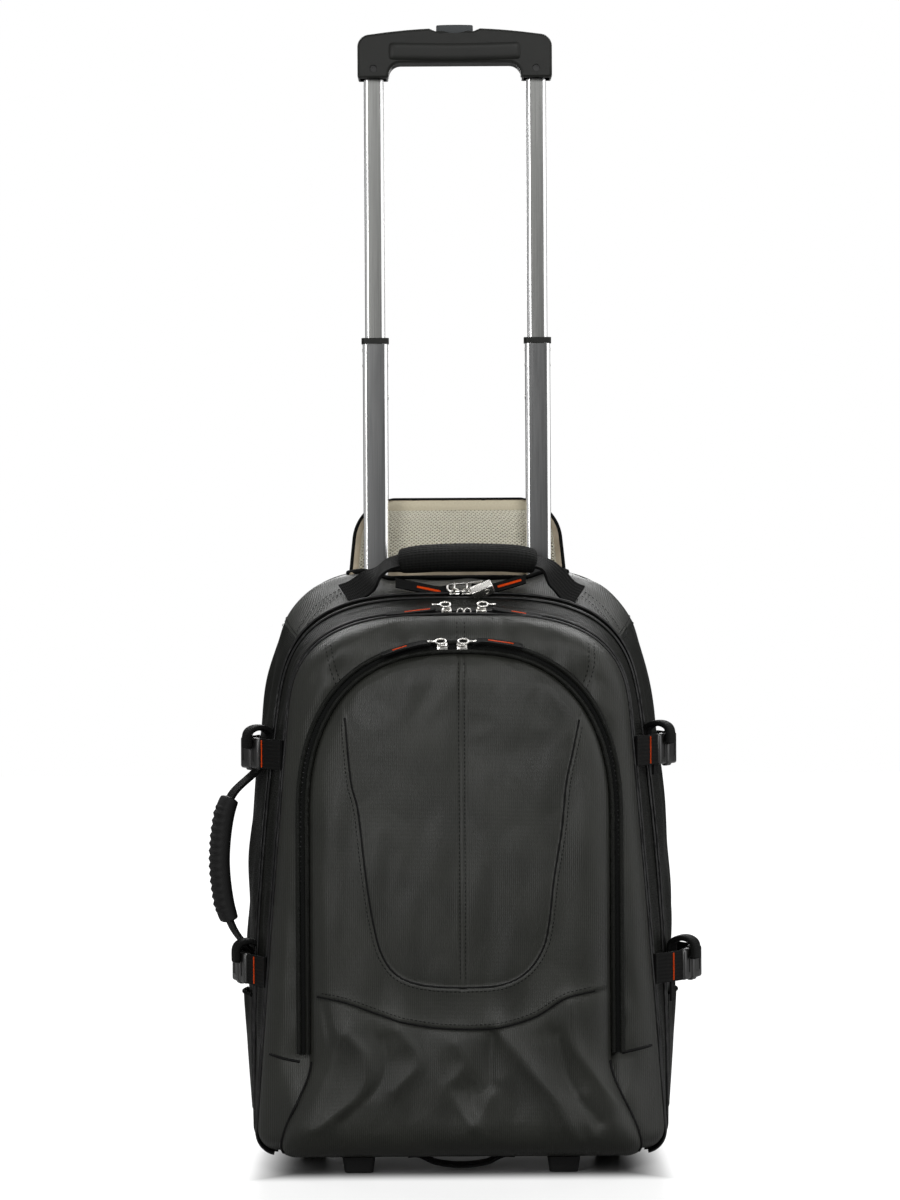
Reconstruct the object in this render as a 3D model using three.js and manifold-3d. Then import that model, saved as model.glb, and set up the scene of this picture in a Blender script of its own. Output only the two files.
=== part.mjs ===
// A wheeled laptop backpack standing on its feet and wheels, with the telescopic handle drawn out
// and the cover of the handle pocket open. Millimetres, +Z up, front towards -Y, origin on the floor.
import * as THREE from 'three';
import { mergeVertices } from 'three/addons/utils/BufferGeometryUtils.js';
import Module from 'manifold-3d';

const wasm = await Module();
wasm.setup();
const { Manifold, Mesh } = wasm;

// Sizes that several pieces share
const CLOTH = 2; // padded cloth wall
const GAP = 0.4; // between neighbouring pieces
const BASE = 14; // underside of the bag above the floor
const CORNER = 18; // radius of the lower corners seen from the front
const SPRING = 390; // height at which the sides turn into the arched top
const BACK = 92; // depth at which the gussets meet the back panel
const MAIN_ZIP = { rear: 4, front: -5 };
const ORGANISER_ZIP = { rear: -46, front: -54 };
const TUBE = { x: 73, y: 74 }; // telescopic tubes, left and right of the middle

// The bag's outline at four depths: half-widths near the floor, at the waist and at the shoulder, top,
// and the exponent of the arch (2 would be an ellipse, more is squarer)
const BODY = [
  { y: 92, foot: 182, waist: 186, shoulder: 167, top: 519, arch: 4.5 },
  { y: 50, foot: 184, waist: 188, shoulder: 170, top: 518, arch: 4.3 },
  { y: 0, foot: 181, waist: 176, shoulder: 156, top: 495, arch: 3.4 },
  { y: -54, foot: 174, waist: 161, shoulder: 145, top: 479, arch: 3 },
];

// Materials
const paint = (color, roughness = 0.8, metalness = 0) =>
  new THREE.MeshStandardMaterial({ color, roughness, metalness });
const NYLON = 0x33342f;
const ZIP_TAPE = 0x17171a;
const WEBBING = 0x1d1d1c;
const LINING = 0xb5a88a;
const PLASTIC = 0x202020;
const RUBBER = 0x191919;
const ALUMINIUM = 0x8d8e8c;
const STEEL = 0xc9c9c6;

const bag = new THREE.Group();
bag.name = 'wheeled_laptop_backpack';

function piece(name, geometry, material) {
  const mesh = new THREE.Mesh(geometry, material);
  mesh.name = name;
  bag.add(mesh);
}

// Small helpers for solids
const at = (x, y, z) => new THREE.Vector3(x, y, z);
const spread = (from, to, steps) => Array.from({ length: steps + 1 }, (_, i) => from + ((to - from) * i) / steps);
const clamp01 = (s) => Math.min(Math.max(s, 0), 1);
const smooth = (s) => clamp01(s) ** 2 * (3 - 2 * clamp01(s));

// Quarter-round edge: 0 at the edge, 1 from one radius inwards
function rounded(distance, radius) {
  const s = clamp01(distance / radius);
  return Math.sqrt(1 - (1 - s) ** 2);
}

// A closed mesh from points and triangles, turned so that its volume is positive
function closedMesh(points, faces) {
  let volume = 0;
  for (const [a, b, c] of faces) {
    volume += points[a].dot(points[b].clone().cross(points[c]));
  }
  const turned = volume < 0 ? faces.map(([a, b, c]) => [a, c, b]) : faces;
  const geometry = new THREE.BufferGeometry();
  geometry.setAttribute('position', new THREE.Float32BufferAttribute(points.flatMap((p) => [p.x, p.y, p.z]), 3));
  geometry.setIndex(turned.flat());
  return geometry;
}

// A cloth wall: surface(u, v) is its outside, and its inside lies one thickness behind
function wall(surface, us, vs, thickness) {
  const outside = us.map((u) => vs.map((v) => surface(u, v)));
  const lastU = us.length - 1;
  const lastV = vs.length - 1;
  const inside = outside.map((column, i) =>
    column.map((point, j) => {
      const alongU = outside[Math.min(i + 1, lastU)][j].clone().sub(outside[Math.max(i - 1, 0)][j]);
      const alongV = column[Math.min(j + 1, lastV)].clone().sub(column[Math.max(j - 1, 0)]);
      return point.clone().addScaledVector(alongU.cross(alongV).normalize(), -thickness);
    }),
  );
  const points = [...outside.flat(), ...inside.flat()];
  const half = points.length / 2;
  const index = (i, j) => i * vs.length + j;
  const faces = [];
  for (let i = 0; i < lastU; i++) {
    for (let j = 0; j < lastV; j++) {
      const [a, b, c, d] = [index(i, j), index(i + 1, j), index(i + 1, j + 1), index(i, j + 1)];
      faces.push([a, b, c], [a, c, d]);
      faces.push([a + half, c + half, b + half], [a + half, d + half, c + half]);
    }
  }
  const rim = [];
  for (let i = 0; i < lastU; i++) rim.push(index(i, 0));
  for (let j = 0; j < lastV; j++) rim.push(index(lastU, j));
  for (let i = lastU; i > 0; i--) rim.push(index(i, lastV));
  for (let j = lastV; j > 0; j--) rim.push(index(0, j));
  rim.forEach((a, k) => {
    const b = rim[(k + 1) % rim.length];
    faces.push([b, a, a + half], [b, a + half, b + half]);
  });
  return closedMesh(points, faces);
}

// A solid through rings of points, closed at both ends
function loft(rings) {
  const count = rings[0].length;
  const points = rings.flat();
  const faces = [];
  for (let r = 0; r < rings.length - 1; r++) {
    for (let k = 0; k < count; k++) {
      const a = r * count + k;
      const b = r * count + ((k + 1) % count);
      faces.push([a, b, b + count], [a, b + count, a + count]);
    }
  }
  for (const [r, turn] of [[0, -1], [rings.length - 1, 1]]) {
    const middle = points.length;
    points.push(rings[r].reduce((sum, p) => sum.add(p), at(0, 0, 0)).divideScalar(count));
    for (let k = 0; k < count; k++) {
      const edge = [r * count + k, r * count + ((k + 1) % count)];
      faces.push(turn > 0 ? [...edge, middle] : [edge[1], edge[0], middle]);
    }
  }
  return closedMesh(points, faces);
}

// A band along a path; across is the direction of its width, width and thickness may change on the way
function band(path, across, steps, width, thickness, ring) {
  const curve = new THREE.CatmullRomCurve3(path.map((p) => at(...p)));
  const corners = ring ?? [[-1, -1], [1, -1], [1, 1], [-1, 1]];
  const rings = spread(0, 1, steps).map((s) => {
    const middle = curve.getPoint(s);
    const forward = curve.getTangent(s);
    const sideways = across.clone().addScaledVector(forward, -across.dot(forward)).normalize();
    const outward = forward.clone().cross(sideways);
    return corners.map(([a, b]) =>
      middle.clone().addScaledVector(sideways, (a * width(s)) / 2).addScaledVector(outward, (b * thickness(s)) / 2),
    );
  });
  return loft(rings);
}

const always = (size) => () => size;

// Booleans
function solid(geometry) {
  const bare = new THREE.BufferGeometry();
  bare.setAttribute('position', geometry.getAttribute('position').clone());
  bare.setIndex(geometry.index);
  const merged = mergeVertices(bare, 1e-4);
  const triVerts = new Uint32Array(merged.index.array);
  const vertProperties = new Float32Array(merged.getAttribute('position').array);
  return new Manifold(new Mesh({ numProp: 3, vertProperties, triVerts }));
}

function skin(manifold) {
  const { vertProperties, triVerts } = manifold.getMesh();
  const geometry = new THREE.BufferGeometry();
  geometry.setAttribute('position', new THREE.Float32BufferAttribute(vertProperties, 3));
  geometry.setIndex([...triVerts]);
  return geometry;
}

const block = (x, y, z) => Manifold.cube([x[1] - x[0], y[1] - y[0], z[1] - z[0]]).translate([x[0], y[0], z[0]]);

// Outline of the bag at one depth, a smooth curve through the rows of BODY
function bodyAt(depth) {
  const y = Math.max(depth, ORGANISER_ZIP.front);
  const i = Math.max(BODY.findIndex((row) => y >= row.y), 1);
  const [before, a, b, after] = [BODY[i - 2] ?? BODY[i - 1], BODY[i - 1], BODY[i], BODY[i + 1] ?? BODY[i]];
  const s = (y - a.y) / (b.y - a.y);
  const size = { base: BASE };
  for (const column of ['foot', 'waist', 'shoulder', 'top', 'arch']) {
    const startSlope = ((b[column] - before[column]) / (b.y - before.y)) * (b.y - a.y);
    const endSlope = ((after[column] - a[column]) / (after.y - a.y)) * (b.y - a.y);
    const [start, end] = [a[column], b[column]];
    const turn = start - end;
    size[column] =
      start + startSlope * s + (-3 * turn - 2 * startSlope - endSlope) * s ** 2 +
      (2 * turn + startSlope + endSlope) * s ** 3;
  }
  return size;
}

// Half-width of the sides: a parabola through foot, waist and shoulder
function sideAt(size, z) {
  const lower = (size.waist - size.foot) / 170;
  const upper = (size.shoulder - size.waist) / 190;
  return size.foot + lower * (z - 60) + ((upper - lower) / 360) * (z - 60) * (z - 230);
}

const flatAt = (size) => sideAt(size, size.base + CORNER) - CORNER;

// A point of the outline: t runs from the right lower corner (0) over the top (0.5) to the left one (1)
function archPoint(size, t) {
  const s = Math.min(t, 1 - t);
  let x = 0;
  let z = 0;
  if (s < 0.08) {
    const angle = (s / 0.08) * (Math.PI / 2);
    x = flatAt(size) + CORNER * Math.sin(angle);
    z = size.base + CORNER * (1 - Math.cos(angle));
  } else if (s < 0.3) {
    z = size.base + CORNER + ((SPRING - size.base - CORNER) * (s - 0.08)) / 0.22;
    x = sideAt(size, z);
  } else {
    const angle = ((s - 0.3) / 0.2) * (Math.PI / 2);
    const reach = (Math.cos(angle) ** size.arch + Math.sin(angle) ** size.arch) ** (-1 / size.arch);
    z = SPRING + (size.top - SPRING) * reach * Math.sin(angle);
    x = sideAt(size, z) * reach * Math.cos(angle);
  }
  return { x: t > 0.5 ? -x : x, z };
}

// Half-width of the outline at a height, and its top at a distance from the middle
function halfWidth(size, z) {
  if (z < size.base + CORNER) {
    return flatAt(size) + Math.sqrt(Math.max(CORNER ** 2 - (CORNER - (z - size.base)) ** 2, 0));
  }
  const up = clamp01((z - SPRING) / (size.top - SPRING));
  return sideAt(size, z) * (1 - up ** size.arch) ** (1 / size.arch);
}

function topAt(x, y) {
  const size = bodyAt(y);
  let low = SPRING;
  let high = size.top;
  for (let i = 0; i < 30; i++) {
    const z = (low + high) / 2;
    if (halfWidth(size, z) > Math.abs(x)) {
      low = z;
    } else {
      high = z;
    }
  }
  return low;
}

// The gusset skin at one depth, sunk below the cloth where a zip tape runs
function gusset(t, y, sunk = 0) {
  const size = bodyAt(y);
  const lowered = { ...size, foot: size.foot - sunk, waist: size.waist - sunk, shoulder: size.shoulder - sunk };
  const { x, z } = archPoint({ ...lowered, top: size.top - sunk, base: BASE + sunk }, t);
  return at(x, y, z);
}

// Wheels in their housings
const WHEEL = { x: 131.8, y: 80, radius: 30, width: 21 };
const HOUSING = { x: [116.3, 147.3], y: [44, 104], z: [10, 64] };

function housingSpace(outer) {
  const y = [HOUSING.y[0] - GAP, HOUSING.y[1] + 20];
  const z = [-5, HOUSING.z[1] + GAP];
  return block([HOUSING.x[0] - GAP, outer], y, z).add(block([-outer, -HOUSING.x[0] + GAP], y, z));
}

// Back panel: a padded plate with rounded rear edges
const backRings = [
  { y: BACK + GAP, inset: 0 },
  { y: 98, inset: 1.5 },
  { y: 102.5, inset: 7 },
  { y: 105, inset: 20 },
].map(({ y, inset }) => {
  const size = bodyAt(BACK);
  const smaller = {
    ...size,
    foot: size.foot - inset,
    waist: size.waist - inset,
    shoulder: size.shoulder - inset,
    top: size.top - inset,
    base: BASE + inset,
  };
  return spread(0, 1, 30).map((t) => {
    const { x, z } = archPoint(smaller, t);
    return at(x, y, z);
  });
});
piece('back_panel', skin(solid(loft(backRings)).subtract(housingSpace(HOUSING.x[1] + GAP))), paint(NYLON));

// Side and top gussets of the main compartment, sewn together at the shoulder seams
const SEAM = 0.375;
const gussetDepths = spread(BACK, MAIN_ZIP.rear, 5);
const seamGap = 0.0006;
for (const [name, from, to, steps] of [
  ['side_gusset_right', 0, SEAM - seamGap, 12],
  ['side_gusset_left', 1 - SEAM + seamGap, 1, 12],
]) {
  piece(name, wall((t, y) => gusset(t, y), spread(from, to, steps), gussetDepths, CLOTH), paint(NYLON));
}
const MOUTH = { x: 98, y: 57 }; // mouth of the handle pocket in the top gusset
const topWall = wall((t, y) => gusset(t, y), spread(SEAM + seamGap, 1 - SEAM - seamGap, 10), gussetDepths, CLOTH);
const mouth = block([-MOUTH.x, MOUTH.x], [MOUTH.y, BACK + 10], [400, 600]);
piece('top_gusset', skin(solid(topWall).subtract(mouth)), paint(NYLON));

// Base panel, notched for the wheel housings
const baseEdge = (y) => flatAt(bodyAt(y)) - 1.2 - 0.5 * Math.max(ORGANISER_ZIP.front - y, 0);
const baseWall = wall((u, y) => at(u * baseEdge(y), y, BASE), spread(-1, 1, 2), [92, 50, 0, -54, -84], 2.5);
piece('base_panel', skin(solid(baseWall).subtract(housingSpace(170))), paint(NYLON));

// Zip tapes and the gusset of the organiser, arches that end at the lower corners
const zipBand = (y0, y1) => wall((t, y) => gusset(t, y, 1), spread(0.03, 0.97, 30), [y0, y1], 1.4);
piece('main_zip', zipBand(MAIN_ZIP.rear - GAP, MAIN_ZIP.front + GAP), paint(ZIP_TAPE));
const organiserDepths = spread(MAIN_ZIP.front - GAP, ORGANISER_ZIP.rear, 2);
piece('organiser_gusset', wall((t, y) => gusset(t, y), spread(0, 1, 32), organiserDepths, CLOTH), paint(NYLON));
piece('organiser_zip', zipBand(ORGANISER_ZIP.rear - GAP, ORGANISER_ZIP.front + GAP), paint(ZIP_TAPE));

// Organiser front: a bulging panel with rounded edges, open to the rear
const ORGANISER = { ...bodyAt(ORGANISER_ZIP.front), base: BASE + 3 };
const ORGANISER_RIM = ORGANISER_ZIP.front - GAP;

function organiserY(x, z) {
  const fromSide = halfWidth(ORGANISER, z) - Math.abs(x);
  const edges = rounded(fromSide, 30) * rounded(ORGANISER.top - z, 40) * rounded(z - ORGANISER.base, 12);
  return ORGANISER_RIM - 31 * edges;
}

const crowded = (steps) => spread(-1, 1, steps).map((s) => Math.sin((s * Math.PI) / 2));
const climbing = (steps) => spread(0, 1, steps).map((s) => (1 - Math.cos(s * Math.PI)) / 2);

function organiserPoint(u, v) {
  const z = ORGANISER.base + (ORGANISER.top - 1 - ORGANISER.base) * v;
  const x = u * halfWidth(ORGANISER, z);
  return at(x, organiserY(x, z), z);
}

piece('organiser_front', wall(organiserPoint, crowded(12), climbing(14), CLOTH), paint(NYLON));

// Front pocket: arched top, sides flaring to the lower corners, and the folds of its soft lower part
const POCKET = { half: 129, flare: 27, spring: 300, top: 446, arch: 2.5, base: 15, bulge: 30 };
const FOLDS = [
  { x0: 36, z0: 123, x1: 100, z1: 31, width: 12, height: 6 },
  { x0: 19, z0: 120, x1: 8, z1: 84, width: 10, height: -5 },
  { x0: -54, z0: 116, x1: -92, z1: 48, width: 13, height: 6 },
  { x0: -22, z0: 108, x1: -48, z1: 39, width: 11, height: -5 },
  { x0: 12, z0: 66, x1: -8, z1: 24, width: 12, height: 4 },
  { x0: 84, z0: 126, x1: 128, z1: 50, width: 12, height: -5 },
];

function pocketHalf(z) {
  const up = clamp01((z - POCKET.spring) / (POCKET.top - POCKET.spring));
  const low = Math.max(12 - (z - POCKET.base), 0);
  const flare = POCKET.flare * smooth((102 - z) / 80) - (12 - Math.sqrt(144 - low ** 2));
  return (POCKET.half + flare) * (1 - up ** POCKET.arch) ** (1 / POCKET.arch);
}

function foldsAt(x, z) {
  let height = 0;
  for (const fold of FOLDS) {
    const [dx, dz] = [fold.x1 - fold.x0, fold.z1 - fold.z0];
    const along = clamp01(((x - fold.x0) * dx + (z - fold.z0) * dz) / (dx ** 2 + dz ** 2));
    const away = Math.hypot(x - fold.x0 - along * dx, z - fold.z0 - along * dz);
    height += fold.height * Math.exp(-((away / fold.width) ** 2));
  }
  return height;
}

function pocketPoint(u, v) {
  const z = POCKET.base + (POCKET.top - 1 - POCKET.base) * v;
  const x = u * pocketHalf(z);
  const rim = organiserY(Math.max(Math.abs(x) - 4, 0), Math.max(z + 4, ORGANISER.base + 16)) - 0.7;
  const full = 15 + (POCKET.bulge - 15) * smooth((POCKET.top - z) / 230) + foldsAt(x, z);
  const fromSide = pocketHalf(z) - Math.abs(x);
  const edges = rounded(fromSide, 24) * rounded(POCKET.top - z, 28) * rounded(z - POCKET.base, 14);
  return at(x, rim - full * edges, z);
}

piece('front_pocket', wall(pocketPoint, crowded(16), climbing(20), CLOTH), paint(NYLON));

// Zip tape of the front pocket, lying on the organiser front around the pocket's arch
function pocketEdge(t, away) {
  const s = Math.min(t, 1 - t) * 2;
  const outward = at(1, 0, 0);
  const edge = at(POCKET.half, 0, 104 + ((POCKET.spring - 104) * s) / 0.4);
  if (s > 0.4) {
    const angle = ((s - 0.4) / 0.6) * (Math.PI / 2);
    const [c, d] = [Math.cos(angle), Math.sin(angle)];
    const reach = (c ** POCKET.arch + d ** POCKET.arch) ** (-1 / POCKET.arch);
    edge.set(POCKET.half * reach * c, 0, POCKET.spring + (POCKET.top - POCKET.spring) * reach * d);
    const rise = POCKET.top - POCKET.spring;
    outward.set((reach * c) ** 1.5 / POCKET.half, 0, (reach * d) ** 1.5 / rise).normalize();
  } else {
    edge.x = pocketHalf(edge.z);
  }
  edge.addScaledVector(outward, away);
  const x = t > 0.5 ? -edge.x : edge.x;
  return at(x, organiserY(x, edge.z) - 2.1, edge.z);
}

piece('pocket_zip', wall(pocketEdge, spread(0, 1, 32), [9.5, 0.7], 1.2), paint(ZIP_TAPE));

// Side pockets low on the gussets, empty and flat
for (const side of [1, -1]) {
  const sidePocket = (u, v) => {
    const y = side > 0 ? 68 - 60 * u : 8 + 60 * u;
    const z = 44 + 100 * v;
    const off = 2.2 + 1.4 * Math.sin(u * Math.PI) * v;
    return at(side * (halfWidth(bodyAt(y), z) + off), y, z);
  };
  const skinned = wall((v, u) => sidePocket(u, v), spread(0, 1, 3), spread(0, 1, 6), 1.5);
  piece(side > 0 ? 'side_pocket_right' : 'side_pocket_left', skinned, paint(NYLON));
}

// Handle pocket: a beige tub behind the main compartment, with holes for the fixed tubes
const FIXED = { width: 26, depth: 16.5 };
const LOWER = { width: 22.6, depth: 13 };
const UPPER = { width: 18, depth: 9.5 };
const tub = block([-97.4, 97.4], [57.4, 91.6], [434, 517]).subtract(block([-96.2, 96.2], [58.6, 90.4], [435.3, 520]));
let tubSolid = tub;
for (const side of [1, -1]) {
  const [x, y] = [side * TUBE.x, TUBE.y];
  const hole = block(
    [x - FIXED.width / 2 - GAP, x + FIXED.width / 2 + GAP],
    [y - FIXED.depth / 2 - GAP, y + FIXED.depth / 2 + GAP],
    [430, 440],
  );
  tubSolid = tubSolid.subtract(hole);
}
piece('handle_pocket_lining', skin(tubSolid), paint(LINING));

// Cover of the handle pocket, standing open: outer cloth, beige lining and its mesh pocket
const FLAP = { half: 96, bottom: 518.9, height: 64, corner: 34, lean: 9, curl: 6 };

function flapPoint(u, v, layer, shrink) {
  const z = FLAP.bottom + FLAP.height * v;
  const low = Math.max(FLAP.corner - (FLAP.bottom + FLAP.height - z), 0);
  const narrowed = FLAP.corner - Math.sqrt(FLAP.corner ** 2 - low ** 2);
  const x = u * (FLAP.half - shrink - 7 * v - narrowed);
  return at(x, 93 + layer + FLAP.lean * v - FLAP.curl * Math.abs(x / FLAP.half) ** 3, z);
}

const flapAcross = crowded(8);
piece('cover_flap', wall((u, v) => flapPoint(u, v, 4, 0), flapAcross, [0, 0.35, 0.65, 0.85, 0.95, 1], 1.4), paint(NYLON));
piece('flap_lining', wall((u, v) => flapPoint(u, v, 2, 1), flapAcross, [0, 0.35, 0.65, 0.85, 0.95, 0.99], 1.4), paint(LINING));
piece('flap_mesh', wall((u, v) => flapPoint(u, v, 0.4, 6), crowded(6), [0.03, 0.3, 0.6, 0.86], 1), paint(LINING));

// Top carry handle: a strap sewn to the top gusset and a padded sleeve on it
const tilted = at(0, 0.9, 0.43);
const onTop = (x, y, off) => [x, y, topAt(x, y) + off];
const handlePath = [
  onTop(-100, 14, 3.5),
  onTop(-90, 15, 3.7),
  [-74, 18, 512],
  [-54, 20, 525.5],
  [8, 21, 529.5],
  [68, 20, 525.5],
  [87, 18, 511],
  onTop(98, 15, 3.9),
  onTop(107, 14, 3.6),
];
piece('top_handle_strap', band(handlePath, tilted, 22, always(25), always(2.4)), paint(WEBBING));
const ellipse = (count) => spread(0, 1, count).slice(1).map((s) => [Math.cos(s * 2 * Math.PI), Math.sin(s * 2 * Math.PI)]);
const padCurve = new THREE.CatmullRomCurve3(handlePath.map((p) => at(...p)));
const padPath = spread(0.31, 0.7, 8).map((s) => padCurve.getPoint(s).toArray());
const padSize = (s) => 0.72 + 0.28 * rounded(Math.min(s, 1 - s), 0.2);
const padSkin = band(padPath, tilted, 8, (s) => 32 * padSize(s), (s) => 21 * padSize(s), ellipse(10));
const strapSpace = band(handlePath, tilted, 22, always(26), always(3.4));
piece('top_handle_pad', skin(solid(padSkin).subtract(solid(strapSpace))), paint(NYLON));

// Side handle on the left gusset: webbing with a toothed rubber sleeve
const sideSlope = at(-0.3, 0.954, 0);
const onSide = (z, off) => [-(halfWidth(bodyAt(20), z) + off), 20, z];
const sidePath = [
  onSide(343, 2.1),
  onSide(334, 6),
  [-199, 20, 319],
  [-208.5, 20, 298],
  [-212, 20, 262],
  [-208.5, 20, 228],
  [-200, 20, 208],
  onSide(198, 6),
  onSide(190, 2.1),
];
piece('side_handle_strap', band(sidePath, sideSlope, 20, always(24), always(2.4)), paint(WEBBING));
const sideCurve = new THREE.CatmullRomCurve3(sidePath.map((p) => at(...p)));
const gripPath = spread(0.25, 0.75, 8).map((s) => sideCurve.getPoint(s).toArray());
const GRIP_STEPS = 30; // every second ring is the tip of a tooth
const gripThickness = (s) => {
  const tooth = Math.round(s * GRIP_STEPS) % 2;
  return s > 0.1 && s < 0.9 ? 15.6 + 2.8 * tooth : 12.5 + 3 * rounded(Math.min(s, 1 - s), 0.1);
};
const gripSkin = band(gripPath, sideSlope, GRIP_STEPS, always(29), gripThickness, ellipse(8));
const gripCore = band(sidePath, sideSlope, 20, always(25), always(3.3));
piece('side_handle_grip', skin(solid(gripSkin).subtract(solid(gripCore))), paint(RUBBER));

// Grab handle under the base, a slack loop of webbing
const sideways = at(0, 1, 0);
const grabPath = [
  [-46, -56, 12.4],
  [-36, -56, 12.2],
  [-22, -56, 6],
  [0, -56, 3.4],
  [22, -56, 6],
  [36, -56, 12.2],
  [46, -56, 12.4],
];
piece('bottom_grab_handle', band(grabPath, sideways, 14, always(25), always(2)), paint(WEBBING));

// Compression straps on both sides, each with a front webbing, a side-release buckle and a rear webbing
const STRAPS = [
  { name: 'upper_right', side: 1, z: 360, front: 12, rear: 16 },
  { name: 'lower_right', side: 1, z: 171, front: 18, rear: 26 },
  { name: 'upper_left', side: -1, z: 358, front: 12, rear: 16 },
  { name: 'lower_left', side: -1, z: 170, front: 10, rear: 13 },
];
const upright = at(0, 0, 1);

function buckleShape() {
  const shape = new THREE.Shape();
  shape.moveTo(-22, -13.4);
  shape.lineTo(-4, -13.4);
  shape.lineTo(-1, -15.5);
  shape.lineTo(12, -15.5);
  shape.lineTo(15, -13.8);
  shape.lineTo(22, -13.8);
  shape.lineTo(22, 13.8);
  shape.lineTo(15, 13.8);
  shape.lineTo(12, 15.5);
  shape.lineTo(-1, 15.5);
  shape.lineTo(-4, 13.4);
  shape.lineTo(-22, 13.4);
  return shape;
}

for (const { name, side, z, front, rear } of STRAPS) {
  const wide = (y) => Math.max(halfWidth(bodyAt(y), z - 13), halfWidth(bodyAt(y), z + 13));
  const frontEnd = at(side * (wide(-18) + front), -18, z);
  const rearEnd = at(side * (wide(26) + rear), 26, z);
  const axis = rearEnd.clone().sub(frontEnd).normalize();
  const middle = frontEnd.clone().add(rearEnd).multiplyScalar(0.5);
  const toFront = middle.clone().addScaledVector(axis, -22.8);
  const toRear = middle.clone().addScaledVector(axis, 22.8);
  const frontPath = [
    [side * (wide(-52) + 1.8), -52, z],
    [side * (wide(-46) + 2.6), -46, z],
    [side * (wide(-34) + 0.55 * front), -34, z],
    toFront.toArray(),
  ];
  const rearPath = [
    toRear.toArray(),
    [side * (wide(50) + 0.6 * rear), 50, z],
    [side * (wide(72) + 2.8), 72, z],
    [side * (wide(84) + 1.8), 84, z],
  ];
  piece(`strap_front_${name}`, band(frontPath, upright, 7, always(26), always(2)), paint(WEBBING));
  piece(`strap_rear_${name}`, band(rearPath, upright, 7, always(26), always(2)), paint(WEBBING));
  const buckle = new THREE.ExtrudeGeometry(buckleShape(), { depth: 9, bevelEnabled: false });
  buckle.translate(0, 0, -4.5);
  const outward = axis.clone().cross(upright);
  buckle.applyMatrix4(new THREE.Matrix4().makeBasis(axis, upright, outward));
  buckle.translate(middle.x, middle.y, middle.z);
  piece(`buckle_${name}`, mergeBare(buckle), paint(PLASTIC, 0.35));
}

// Positions only, with shared corners, so that a piece is one closed mesh
function mergeBare(geometry) {
  geometry.deleteAttribute('normal');
  geometry.deleteAttribute('uv');
  return mergeVertices(geometry, 1e-4);
}

// Zip sliders with a ring and a webbing tag; x runs along the zip and z away from the bag
function zipPull(direction, standing) {
  const body = block([-4.5, 4.5], [-3.5, 3.5], [0, 4.2]);
  const ring = solid(mergeBare(new THREE.TorusGeometry(4.4, 1.2, 4, 9)));
  const tag = (near, y, z) => block(direction > 0 ? [near, 52] : [-52, -near], y, z);
  if (standing) {
    return body.add(ring.rotate([0, 90, 0]).translate([0, 0, 8])).add(tag(0, [3.6, 11.6], [7, 8.6]));
  }
  return body.add(ring.translate([direction * 3, 0, 4.6])).add(tag(6.5, [-5, 5], [3.8, 5.4]));
}

const PULLS = [
  { name: 'main_zip_pull_left', x: -3, y: -0.5, direction: -1, standing: true },
  { name: 'main_zip_pull_right', x: 8, y: -0.5, direction: 1, standing: true },
  { name: 'organiser_zip_pull_left', x: -10, y: -50, direction: -1, standing: false },
  { name: 'organiser_zip_pull_right', x: 20, y: -50, direction: 1, standing: false },
];
for (const { name, x, y, direction, standing } of PULLS) {
  const lift = topAt(0, y) + (standing ? 1.2 : 0.1);
  const pitch = standing ? 0 : 17;
  piece(name, skin(zipPull(direction, standing).rotate([pitch, 0, 0]).translate([x, y, lift])), paint(STEEL, 0.3, 0.9));
}
for (const [name, x, direction] of [['pocket_zip_pull_left', -14, -1], ['pocket_zip_pull_right', 3, 1]]) {
  const z = 451.5;
  const y = organiserY(x, z) - 2.8;
  piece(name, skin(zipPull(direction, false).rotate([78, 0, 0]).translate([x, y, z])), paint(STEEL, 0.3, 0.9));
}

// Small padlock whose shackle runs through the rings of both main pulls
const ringHeight = topAt(0, -0.5) + 1.2 + 8;
const wire = (points) => {
  const section = new THREE.Shape();
  section.absarc(0, 0, 1.2, 0, 2 * Math.PI);
  const curve = new THREE.CatmullRomCurve3(points.map((p) => at(...p)), false, 'centripetal');
  return mergeBare(new THREE.ExtrudeGeometry(section, { steps: 16, curveSegments: 3, extrudePath: curve }));
};
const shackle = solid(wire([
  [15, 0, 0],
  [5, 0, 0],
  [-7, 0, 0],
  [-11, 0, 2.2],
  [-12, 0, 5.2],
  [-10, 0, 8.2],
  [-6, 0, 10],
  [5, 0, 10],
  [15, 0, 10],
]));
const lockBody = block([13, 31], [-4.5, 2.4], [-3.5, 13.5]);
const lock = shackle.add(lockBody).translate([0, -0.5, ringHeight]);
piece('padlock', skin(lock), paint(STEEL, 0.3, 0.9));

// Telescopic handle
function roundedRect(width, depth, radius) {
  const shape = new THREE.Shape();
  const [x, y] = [width / 2 - radius, depth / 2 - radius];
  shape.absarc(x, y, radius, 0, Math.PI / 2);
  shape.absarc(-x, y, radius, Math.PI / 2, Math.PI);
  shape.absarc(-x, -y, radius, Math.PI, 1.5 * Math.PI);
  shape.absarc(x, -y, radius, 1.5 * Math.PI, 2 * Math.PI);
  return shape;
}

function tube(side, outer, inner, bottom, top) {
  const shape = roundedRect(outer.width, outer.depth, 4);
  shape.holes.push(roundedRect(inner.width, inner.depth, 3));
  const geometry = new THREE.ExtrudeGeometry(shape, { depth: top - bottom, bevelEnabled: false, curveSegments: 2 });
  return mergeBare(geometry.translate(side * TUBE.x, TUBE.y, bottom));
}

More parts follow.
